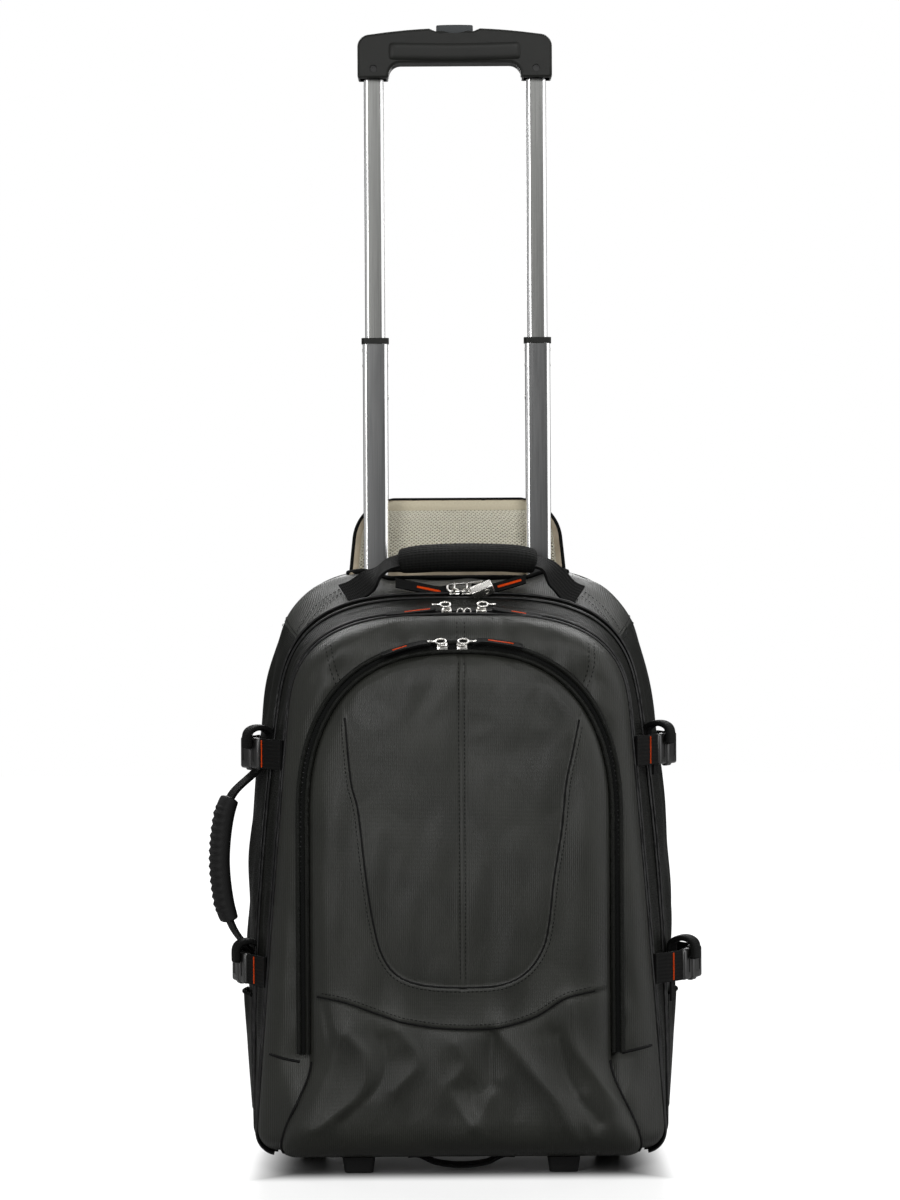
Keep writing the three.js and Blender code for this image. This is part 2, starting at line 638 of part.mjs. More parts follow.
const around = (size, extra) => ({ width: size.width + 2 * extra, depth: size.depth + 2 * extra });
const STAGE = { lowerBottom: 388, lowerTop: 722, upperBottom: 681, upperTop: 985 };
for (const [word, side] of [['right', 1], ['left', -1]]) {
  piece(`fixed_tube_${word}`, tube(side, FIXED, around(LOWER, GAP), BASE + 2.5 + GAP, 438.6), paint(ALUMINIUM, 0.35, 0.9));
  piece(`lower_tube_${word}`, tube(side, LOWER, around(UPPER, GAP), STAGE.lowerBottom, STAGE.lowerTop), paint(ALUMINIUM, 0.35, 0.9));
  piece(`tube_collar_${word}`, tube(side, around(LOWER, 1), around(UPPER, GAP), STAGE.lowerTop + GAP, 727.5), paint(PLASTIC));
  piece(`upper_tube_${word}`, tube(side, UPPER, around(UPPER, -1.2), STAGE.upperBottom, STAGE.upperTop), paint(ALUMINIUM, 0.35, 0.9));
}

// Grip: an upside-down U with sockets for the tubes and a pocket for the release button
const GRIP = { half: 87.3, inner: 59.5, foot: 960, bar: 973.5, depth: 26 };
const gripShape = new THREE.Shape();
gripShape.moveTo(-GRIP.half, GRIP.foot);
gripShape.lineTo(-GRIP.half, 986.5);
gripShape.quadraticCurveTo(-GRIP.half, 996.5, -75, 999.5);
gripShape.quadraticCurveTo(-30, 1005, 0, 1005);
gripShape.quadraticCurveTo(30, 1005, 75, 999.5);
gripShape.quadraticCurveTo(GRIP.half, 996.5, GRIP.half, 986.5);
gripShape.lineTo(GRIP.half, GRIP.foot);
gripShape.lineTo(GRIP.inner, GRIP.foot);
gripShape.quadraticCurveTo(GRIP.inner, GRIP.bar, 48, GRIP.bar);
gripShape.lineTo(-48, GRIP.bar);
gripShape.quadraticCurveTo(-GRIP.inner, GRIP.bar, -GRIP.inner, GRIP.foot);
const gripSolid = new THREE.ExtrudeGeometry(gripShape, {
  depth: GRIP.depth - 8,
  curveSegments: 5,
  bevelThickness: 4,
  bevelSize: 3,
  bevelOffset: -3,
  bevelSegments: 2,
});
gripSolid.rotateX(Math.PI / 2).translate(0, TUBE.y + GRIP.depth / 2 - 4, 0);
let gripBody = solid(mergeBare(gripSolid));
for (const side of [1, -1]) {
  const [x, y] = [side * TUBE.x, TUBE.y];
  const socket = block(
    [x - UPPER.width / 2 - GAP, x + UPPER.width / 2 + GAP],
    [y - UPPER.depth / 2 - GAP, y + UPPER.depth / 2 + GAP],
    [950, STAGE.upperTop + GAP],
  );
  gripBody = gripBody.subtract(socket);
}
const BUTTON = { half: 16.5, front: 64.6, rear: 83.4, bottom: 997, edge: 1005.2, top: 1008.2 };
const well = block([-BUTTON.half - GAP, BUTTON.half + GAP], [BUTTON.front - GAP, BUTTON.rear + GAP], [993, 1020]);
const smile = Manifold.cylinder(10, 26, 26, 28).rotate([90, 0, 0]).translate([0, 66, 1026]);
piece('grip', skin(gripBody.subtract(well).subtract(smile)), paint(PLASTIC, 0.5));
const buttonShape = new THREE.Shape();
buttonShape.moveTo(-BUTTON.half, BUTTON.bottom);
buttonShape.lineTo(BUTTON.half, BUTTON.bottom);
buttonShape.lineTo(BUTTON.half, BUTTON.edge);
buttonShape.quadraticCurveTo(0, 2 * BUTTON.top - BUTTON.edge, -BUTTON.half, BUTTON.edge);
const buttonSolid = new THREE.ExtrudeGeometry(buttonShape, {
  depth: BUTTON.rear - BUTTON.front,
  bevelEnabled: false,
  curveSegments: 8,
});
buttonSolid.rotateX(Math.PI / 2).translate(0, BUTTON.rear, 0);
piece('release_button', mergeBare(buttonSolid), paint(PLASTIC, 0.5));

// Front feet
for (const [word, side] of [['right', 1], ['left', -1]]) {
  const foot = [
    { z: 0, x: 11.5, y: 9 },
    { z: 1.5, x: 12.5, y: 10 },
    { z: BASE - GAP, x: 14.2, y: 12 },
  ].map(({ z, x, y }) =>
    [[x, -y + 4], [x, y - 4], [x - 4, y], [-x + 4, y], [-x, y - 4], [-x, -y + 4], [-x + 4, -y], [x - 4, -y]].map(
      ([dx, dy]) => at(side * 88 + dx, -69 + dy, z),
    ),
  );
  piece(`front_foot_${word}`, loft(foot), paint(RUBBER));
}

// Wheels turn on axles moulded into their housings
const wheelProfile = [[3.4, -10.5], [25, -10.5], [29, -8.5], [30, -5], [30, 5], [29, 8.5], [25, 10.5], [3.4, 10.5], [3.4, -10.5]];
for (const [word, side] of [['right', 1], ['left', -1]]) {
  const x = side * WHEEL.x;
  const [inner, outer] = HOUSING.x;
  const box = block(side > 0 ? [inner, outer] : [-outer, -inner], HOUSING.y, HOUSING.z);
  const room = Manifold.cylinder(WHEEL.width + 3, 33, 33, 28).rotate([0, 90, 0]);
  const left = x - WHEEL.width / 2 - 1.5;
  const right = x + WHEEL.width / 2 + 1.5;
  const open = block([left, right], [WHEEL.y, 130], [-10, WHEEL.y - 30]);
  const below = block([left, right], [WHEEL.y - 33, 130], [-10, WHEEL.radius]);
  const axle = Manifold.cylinder(WHEEL.width + 5, 3, 3, 16).rotate([0, 90, 0]);
  const housing = box
    .subtract(room.translate([left, WHEEL.y, WHEEL.radius]))
    .subtract(open)
    .subtract(below)
    .add(axle.translate([left - 1, WHEEL.y, WHEEL.radius]));
  piece(`wheel_housing_${word}`, skin(housing), paint(PLASTIC));
  const wheel = new THREE.LatheGeometry(wheelProfile.map(([r, h]) => new THREE.Vector2(r, h)), 18);
  wheel.rotateZ(Math.PI / 2).translate(x, WHEEL.y, WHEEL.radius);
  piece(`wheel_${word}`, mergeBare(wheel), paint(RUBBER));
}

// Shoulder straps lying on the back panel, padded above and webbing below
for (const [word, side] of [['right', 1], ['left', -1]]) {
  const path = [
    [side * 44, 108.2, 492],
    [side * 46, 111, 476],
    [side * 54, 117, 410],
    [side * 72, 118.5, 310],
    [side * 92, 117, 220],
    [side * 106, 112, 150],
    [side * 112, 107.6, 112],
    [side * 113, 107, 100],
  ];
  const width = (s) => 56 - 28 * smooth((s - 0.55) / 0.2);
  const thickness = (s) => 4.4 + 4.6 * smooth(s / 0.12) - 6.6 * smooth((s - 0.62) / 0.12);
  piece(`shoulder_strap_${word}`, band(path, at(1, 0, 0), 16, width, thickness), paint(NYLON));
}

export default bag;
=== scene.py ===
# Wheeled laptop backpack with its telescopic handle drawn out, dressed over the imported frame.
# Lengths are in metres: x runs to the photograph's right, y away from the camera, z up.
import math

import bpy
import numpy as np
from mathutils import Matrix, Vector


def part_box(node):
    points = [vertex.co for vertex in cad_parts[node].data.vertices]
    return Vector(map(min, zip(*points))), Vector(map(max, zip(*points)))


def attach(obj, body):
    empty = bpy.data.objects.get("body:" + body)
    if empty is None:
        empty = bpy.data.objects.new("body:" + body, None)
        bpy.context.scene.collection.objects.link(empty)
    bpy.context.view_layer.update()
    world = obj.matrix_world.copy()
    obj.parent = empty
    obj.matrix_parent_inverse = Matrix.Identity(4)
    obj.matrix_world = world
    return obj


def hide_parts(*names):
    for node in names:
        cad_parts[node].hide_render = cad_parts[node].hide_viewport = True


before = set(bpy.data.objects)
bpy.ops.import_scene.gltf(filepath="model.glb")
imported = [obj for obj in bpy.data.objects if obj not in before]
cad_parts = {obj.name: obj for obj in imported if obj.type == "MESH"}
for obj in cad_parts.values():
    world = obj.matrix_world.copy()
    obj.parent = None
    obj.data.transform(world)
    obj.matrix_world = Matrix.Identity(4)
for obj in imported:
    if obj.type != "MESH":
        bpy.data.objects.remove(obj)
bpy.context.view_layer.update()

# Studio
# A white floor with a faint shine, soft boxes round the bag and a pale room. The camera stands
# 3.2 m off, as high as the bag and very slightly rolled, as the photograph was taken.
CAMERA_PLACE = (-0.007, -3.2, 0.4916)
CAMERA_ROLL = 0.0058
FIELD_HEIGHT = 1.056
SENSOR_HEIGHT = 36.0
FLOOR_SIDE = 14.0
ROOM_LIGHT = 0.09
FRONT_SHINE, LEFT_SHINE, RIGHT_SHINE, BACK_SHINE, CEILING_SHINE = 0.08, 0.4, 1.5, 0.30, 0.9
WALL_EDGE = 0.45
WALL_SPREAD = 1.5
BACKDROP_EDGE = 0.92
CEILING_RISE = (0.75, 0.97)
DEPTH_RISE = (0.3, 0.6)
FLOOR_GLOW = (0.80, 1.0)
FLOOR_FADE = (0.9, 2.4)
SHADE_HALF = (0.150, 0.085)
SHADE_FADE = (-0.010, 0.045)
GRAIN_DEPTH = 0.0003
SOFT_BOXES = {
    "key_box": ((0.7, -2.8, 2.2), (0.0, 0.0, 0.4), 1.0, 41.0),
    "fill_box": ((-1.5, -2.9, 1.2), (0.0, 0.0, 0.4), 1.2, 33.0),
    "left_rear_box": ((-0.8, 1.2, 2.1), (0.0, 0.0, 0.5), 1.0, 17.0),
    "right_rear_box": ((0.8, 1.2, 2.1), (0.0, 0.0, 0.5), 1.0, 18.0),
    "back_box": ((0.0, 3.0, 1.6), (0.0, 0.0, 0.35), 1.2, 26.0),
}


def linear(colour):
    """The linear red, green, blue and alpha of an sRGB hex colour."""
    parts = [int(colour[i:i + 2], 16) / 255 for i in (1, 3, 5)]
    return [p / 12.92 if p <= 0.04045 else ((p + 0.055) / 1.055) ** 2.4 for p in parts] + [1.0]


def fill(tree, node, inputs):
    """Links or sets the input sockets of a node."""
    for name, value in inputs.items():
        if isinstance(value, bpy.types.NodeSocket):
            tree.links.new(value, node.inputs[name])
        else:
            node.inputs[name].default_value = value


def add_node(tree, kind, inputs=None, **settings):
    """Adds a node, sets its properties, and fills its input sockets."""
    node = tree.nodes.new(kind)
    for name, value in settings.items():
        setattr(node, name, value)
    fill(tree, node, inputs or {})
    return node


def new_material(name, colour, roughness, metallic=0.0):
    """A material whose shader has one finish; returns the material, its tree and the shader."""
    material = bpy.data.materials.new(name)
    material.use_nodes = True
    tree = material.node_tree
    shader = tree.nodes["Principled BSDF"]
    fill(tree, shader, {"Base Color": linear(colour), "Roughness": roughness, "Metallic": metallic})
    return material, tree, shader


def mottled(name, colour, roughness, scale, gloss=None, tones=None, grain=None, metallic=0.0, shine=0.5):
    """A finish mottled by noise: its roughness runs between gloss, or its colour between tones.

    A grain is the pitch and the strength of a finer noise that stands out of the surface."""
    material, tree, shader = new_material(name, colour, roughness, metallic)
    fill(tree, shader, {"Specular IOR Level": shine})
    place = add_node(tree, "ShaderNodeTexCoord").outputs["Object"]
    mottle = add_node(tree, "ShaderNodeTexNoise", {"Vector": place, "Scale": scale}).outputs["Fac"]
    if gloss:
        dull = add_node(tree, "ShaderNodeMapRange", {"Value": mottle, "To Min": gloss[0], "To Max": gloss[1]})
        fill(tree, shader, {"Roughness": dull.outputs["Result"]})
    if tones:
        tone = add_node(
            tree, "ShaderNodeMix", {0: mottle, 6: linear(tones[0]), 7: linear(tones[1])}, data_type="RGBA"
        )
        fill(tree, shader, {"Base Color": tone.outputs[2]})
    if grain:
        fine = add_node(tree, "ShaderNodeTexNoise", {"Vector": place, "Scale": 1 / grain[0]})
        bump = add_node(
            tree,
            "ShaderNodeBump",
            {"Height": fine.outputs["Fac"], "Strength": grain[1], "Distance": GRAIN_DEPTH},
        )
        fill(tree, shader, {"Normal": bump.outputs["Normal"]})
    return material


def new_object(name, data):
    """An object with the given data, put into the scene."""
    thing = bpy.data.objects.new(name, data)
    bpy.context.collection.objects.link(thing)
    return thing


def added(name, size=None):
    """Names the primitive just added, stretches it to a size, and applies its place and turn."""
    piece = bpy.context.object
    piece.name = name
    if size is not None:
        bpy.ops.transform.resize(value=size)
    bpy.ops.object.transform_apply(location=True, rotation=True, scale=True)
    return piece


camera_data = bpy.data.cameras.new("photo_camera")
camera_data.sensor_fit = "VERTICAL"
camera_data.sensor_height = SENSOR_HEIGHT
camera_data.lens = SENSOR_HEIGHT * -CAMERA_PLACE[1] / FIELD_HEIGHT
camera = new_object("photo_camera", camera_data)
camera.location = CAMERA_PLACE
camera.rotation_euler = (math.pi / 2, CAMERA_ROLL, 0.0)
bpy.context.scene.camera = camera

for light_name, (place, target, side, power) in SOFT_BOXES.items():
    light_data = bpy.data.lights.new(light_name, "AREA")
    light_data.size = side
    light_data.energy = power
    light = new_object(light_name, light_data)
    light.location = place
    away = [target[i] - place[i] for i in range(3)]
    light.rotation_euler = (
        math.atan2(math.hypot(away[0], away[1]), -away[2]),
        0.0,
        math.atan2(away[1], away[0]) - math.pi / 2,
    )

room = bpy.data.worlds.new("pale_room")
room.use_nodes = True
room_tree = room.node_tree
room_sight = add_node(room_tree, "ShaderNodeLightPath")
room_way = add_node(room_tree, "ShaderNodeTexCoord")
room_parts = add_node(room_tree, "ShaderNodeSeparateXYZ", {0: room_way.outputs["Generated"]})
room_shines = []
for way, start, end, dim, bright in (
    ("X", WALL_EDGE, WALL_SPREAD * WALL_EDGE, FRONT_SHINE, RIGHT_SHINE),
    ("X", -WALL_EDGE, -WALL_SPREAD * WALL_EDGE, 0.0, LEFT_SHINE),
    ("Z", *CEILING_RISE, 0.0, CEILING_SHINE),
    ("Y", *DEPTH_RISE, 0.0, 1.0),
    ("Y", BACKDROP_EDGE, 1.0, FRONT_SHINE, BACK_SHINE),
):
    room_range = {"From Min": start, "From Max": end, "To Min": dim, "To Max": bright}
    room_ramp = add_node(room_tree, "ShaderNodeMapRange", {"Value": room_parts.outputs[way], **room_range})
    room_shines.append(room_ramp.outputs["Result"])
room_right, room_left, room_ceiling, room_depth, room_back = room_shines
room_sides = add_node(room_tree, "ShaderNodeMath", {0: room_right, 1: room_left})
room_front = add_node(room_tree, "ShaderNodeMath", {0: room_sides.outputs["Value"], 1: room_ceiling})
room_wall = add_node(
    room_tree, "ShaderNodeMix", {0: room_depth, 2: room_front.outputs["Value"], 3: room_back}
)
room_shine = add_node(
    room_tree,
    "ShaderNodeMix",
    {0: room_sight.outputs["Is Glossy Ray"], 2: ROOM_LIGHT, 3: room_wall.outputs[0]},
)
room_strength = add_node(
    room_tree, "ShaderNodeMix", {0: room_sight.outputs["Is Camera Ray"], 2: room_shine.outputs[0], 3: 1.0}
)
room_finish = {"Color": linear("#ffffff"), "Strength": room_strength.outputs[0]}
fill(room_tree, room_tree.nodes["Background"], room_finish)
bpy.context.scene.world = room
bpy.context.scene.view_settings.view_transform = "Standard"

# Painted board with a satin lacquer: nearly white and glowing to the camera, with a dim reflection of the
# bag's foot. Its glow is taken away over the bag's footprint, which paints a shadow under the bag.
white_board = mottled("white_satin_board", "#a4a4a4", 0.22, 3.0, gloss=(0.18, 0.28))
tree = white_board.node_tree
board_place = add_node(tree, "ShaderNodeTexCoord").outputs["Object"]
board_sight = add_node(tree, "ShaderNodeLightPath")
board_reach = add_node(tree, "ShaderNodeVectorMath", {0: board_place}, operation="LENGTH")
board_fade = add_node(
    tree,
    "ShaderNodeMapRange",
    {
        "Value": board_reach.outputs["Value"],
        "From Min": FLOOR_FADE[0],
        "From Max": FLOOR_FADE[1],
        "To Min": FLOOR_GLOW[0],
        "To Max": FLOOR_GLOW[1],
    },
)
# Painted shadow: the glow fades out over the bag's footprint, SHADE_HALF wide and SHADE_FADE soft.
board_away = add_node(tree, "ShaderNodeVectorMath", {0: board_place}, operation="ABSOLUTE")
board_past = add_node(
    tree,
    "ShaderNodeVectorMath",
    {0: board_away.outputs["Vector"], 1: (*SHADE_HALF, 1.0)},
    operation="SUBTRACT",
)
board_sides = add_node(tree, "ShaderNodeSeparateXYZ", {0: board_past.outputs["Vector"]})
board_near = add_node(
    tree,
    "ShaderNodeMath",
    {0: board_sides.outputs["X"], 1: board_sides.outputs["Y"]},
    operation="MAXIMUM",
)
board_outside_painted_shadow = add_node(
    tree,
    "ShaderNodeMapRange",
    {"Value": board_near.outputs["Value"], "From Min": SHADE_FADE[0], "From Max": SHADE_FADE[1]},
    interpolation_type="SMOOTHSTEP",
)
board_glow_less_painted_shadow = add_node(
    tree,
    "ShaderNodeMath",
    {0: board_fade.outputs["Result"], 1: board_outside_painted_shadow.outputs["Result"]},
    operation="MULTIPLY",
)
board_glow = add_node(
    tree,
    "ShaderNodeMath",
    {0: board_sight.outputs["Is Camera Ray"], 1: board_glow_less_painted_shadow.outputs["Value"]},
    operation="MULTIPLY",
)
board_finish = {"Emission Color": linear("#ffffff"), "Emission Strength": board_glow.outputs["Value"]}
fill(tree, tree.nodes["Principled BSDF"], board_finish)
bpy.ops.mesh.primitive_plane_add(size=FLOOR_SIDE)
floor = added("floor")
floor.data.materials.append(white_board)

# Main compartment
# Two side gussets and a top gusset of coated ribbed nylon, 2 mm with their lining, sewn into the
# bag's arch. The top gusset has the mouth of the handle pocket cut into its rear edge.
BASE = 0.014
CORNER = 0.018
SPRING = 0.390
REAR = 0.092
MAIN_ZIP = (0.004, -0.005)
CLOTH = 0.002
CORNER_SHARE = 0.08
SIDE_SHARE = 0.30
SEAM = 0.375
MOUTH = (0.098, 0.057)
BODY_Y = np.array([-0.054, 0.000, 0.050, 0.092])
BODY = {
    "foot": np.array([0.174, 0.181, 0.184, 0.182]),
    "waist": np.array([0.161, 0.176, 0.188, 0.186]),
    "shoulder": np.array([0.145, 0.156, 0.170, 0.167]),
    "top": np.array([0.479, 0.495, 0.518, 0.519]),
    "arch": np.array([3.0, 3.4, 4.3, 4.5]),
}
HEIGHTS = (0.060, 0.230, 0.420)
WAVE_TURN = math.pi / 10


def body_size(name, y):
    """One of the bag's sizes at a depth, on a smooth curve through the rows of BODY."""
    y = np.clip(y, BODY_Y[0], BODY_Y[-1])
    rows = BODY[name]
    slopes = np.empty(4)
    slopes[1:-1] = (rows[2:] - rows[:-2]) / (BODY_Y[2:] - BODY_Y[:-2])
    slopes[0] = (rows[1] - rows[0]) / (BODY_Y[1] - BODY_Y[0])
    slopes[-1] = (rows[-1] - rows[-2]) / (BODY_Y[-1] - BODY_Y[-2])
    k = np.clip(np.searchsorted(BODY_Y, y) - 1, 0, 2)
    step = BODY_Y[k + 1] - BODY_Y[k]
    s = (y - BODY_Y[k]) / step
    start = (1 + 2 * s) * (1 - s) ** 2 * rows[k] + s * (1 - s) ** 2 * step * slopes[k]
    return start + s * s * (3 - 2 * s) * rows[k + 1] + s * s * (s - 1) * step * slopes[k + 1]


def side_at(y, z, sunk=0.0):
    """The bag's half width at a depth and height, without the round of its corners and arch."""
    foot, waist, shoulder = (body_size(name, y) - sunk for name in ("foot", "waist", "shoulder"))
    low, middle, high = HEIGHTS
    lower = (waist - foot) / (middle - low)
    upper = (shoulder - waist) / (high - middle)
    return foot + lower * (z - low) + (upper - lower) / (high - low) * (z - low) * (z - middle)


def arch_point(t, y, sunk=0.0):
    """x and z of the bag's outline: t is 0 at the right lower corner, 0.5 on top, 1 at the left."""
    s = np.minimum(t, 1 - t)
    top = body_size("top", y) - sunk
    base = BASE + sunk
    turn = np.clip(s / CORNER_SHARE, 0, 1) * math.pi / 2
    climb = np.clip((s - CORNER_SHARE) / (SIDE_SHARE - CORNER_SHARE), 0, 1)
    angle = np.clip((s - SIDE_SHARE) / (0.5 - SIDE_SHARE), 0, 1) * math.pi / 2
    arch = body_size("arch", y)
    reach = (np.cos(angle) ** arch + np.sin(angle) ** arch) ** (-1 / arch)
    z = np.where(
        s < CORNER_SHARE,
        base + CORNER * (1 - np.cos(turn)),
        np.where(
            s < SIDE_SHARE,
            base + CORNER + (SPRING - base - CORNER) * climb,
            SPRING + (top - SPRING) * reach * np.sin(angle),
        ),
    )
    flat = side_at(y, base + CORNER, sunk) - CORNER
    wide = side_at(y, z, sunk) * reach * np.cos(angle)
    x = np.where(s < CORNER_SHARE, flat + CORNER * np.sin(turn), wide)
    return np.where(t > 0.5, -x, x), z


def half_width(y, z, base=BASE):
    """The bag's half width at a depth and height, with its round corners and arch."""
    top = body_size("top", y)
    drop = np.clip(base + CORNER - z, 0, CORNER)
    flat = side_at(y, base + CORNER) - CORNER
    up = np.clip((z - SPRING) / (top - SPRING), 0, 1)
    arch = body_size("arch", y)
    return np.where(
        z < base + CORNER,
        flat + np.sqrt(CORNER ** 2 - drop ** 2),
        side_at(y, z) * (1 - up ** arch) ** (1 / arch),
    )


def halved(low, high, inside):
    """The place between a low and a high one up to which a test holds, found by halving."""
    for _ in range(40):
        middle = (low + high) / 2
        holds = inside(middle)
        low = np.where(holds, middle, low)
        high = np.where(holds, high, middle)
    return low


def top_at(x, y):
    """The height of the bag's top at a place across and a depth."""
    low = np.full_like(np.asarray(x, dtype=float), SPRING)
    high = np.broadcast_to(body_size("top", y), low.shape)
    return halved(low, high, lambda z: half_width(y, z) > np.abs(x))


def ripple(a, b, length):
    """A smooth irregular wave from -1 to 1 over two coordinates, about length from crest to crest."""
    k = 2 * math.pi / length
    first = np.sin(k * (a + 0.31 * b)) * np.sin(k * (0.83 * b - 0.22 * a) + 1.3)
    second = np.sin(k * (1.37 * a - 0.74 * b) + 2.1) * np.sin(k * (0.41 * a + 0.57 * b) + 0.4)
    return (first + 0.6 * second) / 1.6


def smooth(s):
    """A soft step from 0 to 1."""
    s = np.clip(s, 0, 1)
    return s * s * (3 - 2 * s)


def read_points(mesh):
    """The places of a mesh's points, one row each."""
    points = np.empty(3 * len(mesh.vertices))
    mesh.vertices.foreach_get("co", points)
    return points.reshape(-1, 3)


def move_points(mesh, points):
    """Moves a mesh's points to new places."""
    mesh.vertices.foreach_set("co", points.ravel())
    mesh.update()


def cloth_grid(name, columns, rows, shape, size):
    """A grid primitive moved onto shape(u, v), with u and v from 0 to 1 and its UVs in metres."""
    bpy.ops.mesh.primitive_grid_add(x_subdivisions=columns, y_subdivisions=rows, size=1.0)
    piece = added(name)
    mesh = piece.data
    u, v = np.round(read_points(mesh)[:, :2] + 0.5, 5).T
    corners = np.empty(len(mesh.loops), dtype=np.int32)
    mesh.loops.foreach_get("vertex_index", corners)
    spread = np.column_stack((u * size[0], v * size[1]))[corners]
    mesh.uv_layers[0].data.foreach_set("uv", spread.ravel())
    move_points(mesh, np.column_stack(np.broadcast_arrays(*shape(u, v))))
    return piece


def take(piece):
    """Makes a piece the only one selected, and the active one."""
    bpy.ops.object.select_all(action="DESELECT")
    bpy.context.view_layer.objects.active = piece
    piece.select_set(True)


def apply_modifiers(piece):
    """Applies every modifier on a piece, in their order."""
    take(piece)
    for modifier in list(piece.modifiers):
        bpy.ops.object.modifier_apply(modifier=modifier.name)


def give_wall(piece, thickness, offset=-1.0):
    """Gives a sheet its thickness, inwards unless the offset says otherwise."""
    wall = piece.modifiers.new("wall", "SOLIDIFY")
    wall.thickness = thickness
    wall.offset = offset
    apply_modifiers(piece)


def settle(piece, held, slack, spare, pressure, cap, frames=18):
    """Lets a sewn sheet that was cut too large settle into folds, by cloth simulation.

    Its edge and the points that held wants stay, slack gives each point its share of the spare
    cloth, and no point moves further than the cap."""
    mesh = piece.data
    start = read_points(mesh)
    take(piece)
    bpy.ops.object.mode_set(mode="EDIT")
    bpy.ops.mesh.select_mode(type="VERT")
    bpy.ops.mesh.select_all(action="DESELECT")
    bpy.ops.mesh.select_non_manifold(extend=False)
    bpy.ops.object.mode_set(mode="OBJECT")
    edge = np.array([vertex.select for vertex in mesh.vertices])
    sewn = piece.vertex_groups.new(name="sewn")
    sewn.add([int(i) for i in np.nonzero(edge | held(start))[0]], 1.0, "REPLACE")
    loose = piece.vertex_groups.new(name="loose")
    for i, weight in enumerate(slack(start)):
        loose.add([i], float(weight), "REPLACE")
    cloth = piece.modifiers.new("cloth", "CLOTH")
    feel = cloth.settings
    feel.quality = 6
    feel.mass = 0.2
    feel.bending_stiffness = 0.1
    feel.vertex_group_mass = "sewn"
    feel.vertex_group_shrink = "loose"
    feel.shrink_min = 0.0
    feel.shrink_max = -spare
    feel.use_pressure = True
    feel.uniform_pressure_force = pressure
    feel.effector_weights.gravity = 0.0
    cloth.collision_settings.use_collision = False
    cloth.point_cache.frame_end = frames
    for step in range(1, frames + 1):
        bpy.context.scene.frame_set(step)
    bpy.ops.object.modifier_apply(modifier="cloth")
    bpy.context.scene.frame_set(1)
    moved = read_points(mesh) - start
    far = np.linalg.norm(moved, axis=1, keepdims=True)
    move_points(mesh, start + moved * np.minimum(1, cap / np.maximum(far, 1e-9)))
    piece.vertex_groups.clear()


def refine(piece):
    """Divides a sheet once, on the smooth surface through its points."""
    finer = piece.modifiers.new("finer", "SUBSURF")
    finer.levels = 1
    finer.render_levels = 1
    apply_modifiers(piece)


def paint(piece, material):
    """Gives a piece one material in place of any it has."""
    piece.data.materials.clear()
    piece.data.materials.append(material)


def fit(piece, material, slot, *nodes, body="bag", smooth_angle=45):
    """Gives a piece its finish, its body and the CAD nodes that it stands for."""
    paint(piece, material)
    take(piece)
    bpy.ops.object.shade_smooth_by_angle(angle=math.radians(smooth_angle))
    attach(piece, body)
    if nodes:
        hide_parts(*nodes)


# Coated polyester nylon, woven with a fine upright rib, with a satin sheen: charcoal, and a nearly black
# copy. The black copy is painted shade on the gussets and side pockets, and the real black of the front
# pocket's piping. The ribs of the real cloth are about 0.6 mm apart, drawn at 1.7 mm so that they show.
NYLON_RIB = 0.0017
NYLON_PICK = 0.0011
NYLON_PATCH = 0.055
nylons = []
for name, dark, light, dull, shine in (
    ("ribbed_charcoal_nylon", "#1d1e1b", "#30312c", (0.33, 0.50), 0.32),
    ("ribbed_black_nylon", "#121311", "#1f201d", (0.34, 0.46), 0.10),
):
    fabric, tree, shader = new_material(name, dark, 0.5)
    nylon_uv = add_node(tree, "ShaderNodeUVMap").outputs["UV"]
    nylon_rib, nylon_pick = (
        add_node(
            tree,
            "ShaderNodeTexWave",
            {"Vector": nylon_uv, "Scale": WAVE_TURN / pitch, "Distortion": stray, "Detail": 1.0},
            bands_direction=way,
        )
        for pitch, stray, way in ((NYLON_RIB, 0.5, "X"), (NYLON_PICK, 0.8, "Y"))
    )
    nylon_weave = add_node(
        tree,
        "ShaderNodeMath",
        {0: nylon_pick.outputs["Fac"], 1: 0.4, 2: nylon_rib.outputs["Fac"]},
        operation="MULTIPLY_ADD",
    )
    nylon_patch = add_node(
        tree, "ShaderNodeTexNoise", {"Vector": nylon_uv, "Scale": 1 / NYLON_PATCH, "Detail": 3.0}
    )
    nylon_tone = add_node(
        tree,
        "ShaderNodeMath",
        {0: nylon_weave.outputs["Value"], 1: 0.35, 2: nylon_patch.outputs["Fac"]},
        operation="MULTIPLY_ADD",
    )
    nylon_shade = add_node(
        tree, "ShaderNodeMapRange", {"Value": nylon_tone.outputs["Value"], "From Min": 0.3, "From Max": 1.1}
    )
    nylon_colour = add_node(
        tree,
        "ShaderNodeMix",
        {0: nylon_shade.outputs["Result"], 6: linear(dark), 7: linear(light)},
        data_type="RGBA",
    )
    nylon_gloss = add_node(
        tree,
        "ShaderNodeMapRange",
        {"Value": nylon_patch.outputs["Fac"], "To Min": dull[0], "To Max": dull[1]},
    )
    nylon_bump = add_node(
        tree, "ShaderNodeBump", {"Height": nylon_weave.outputs["Value"], "Strength": 0.35, "Distance": 0.0004}
    )
    nylon_finish = {
        "Base Color": nylon_colour.outputs[2],
        "Roughness": nylon_gloss.outputs["Result"],
        "Normal": nylon_bump.outputs["Normal"],
        "Specular IOR Level": shine,
    }
    fill(tree, shader, nylon_finish)
    nylons.append(fabric)
nylon, black_nylon_and_painted_shade = nylons


def gusset_shape(start, end, rear, front):
    """The slack cloth of a gusset between two shares of the outline and two depths."""
    def shape(u, v):
        t = start + (end - start) * u
        y = rear + (front - rear) * v
        x, z = arch_point(t, y)
        slack = 0.0022 * ripple(0.5 * z + 0.4 * x, 2.4 * y, 0.075) * np.sin(math.pi * v)
        return x + np.sign(x) * slack, y, z + slack * (np.abs(t - 0.5) < 0.5 - SIDE_SHARE)
    return shape


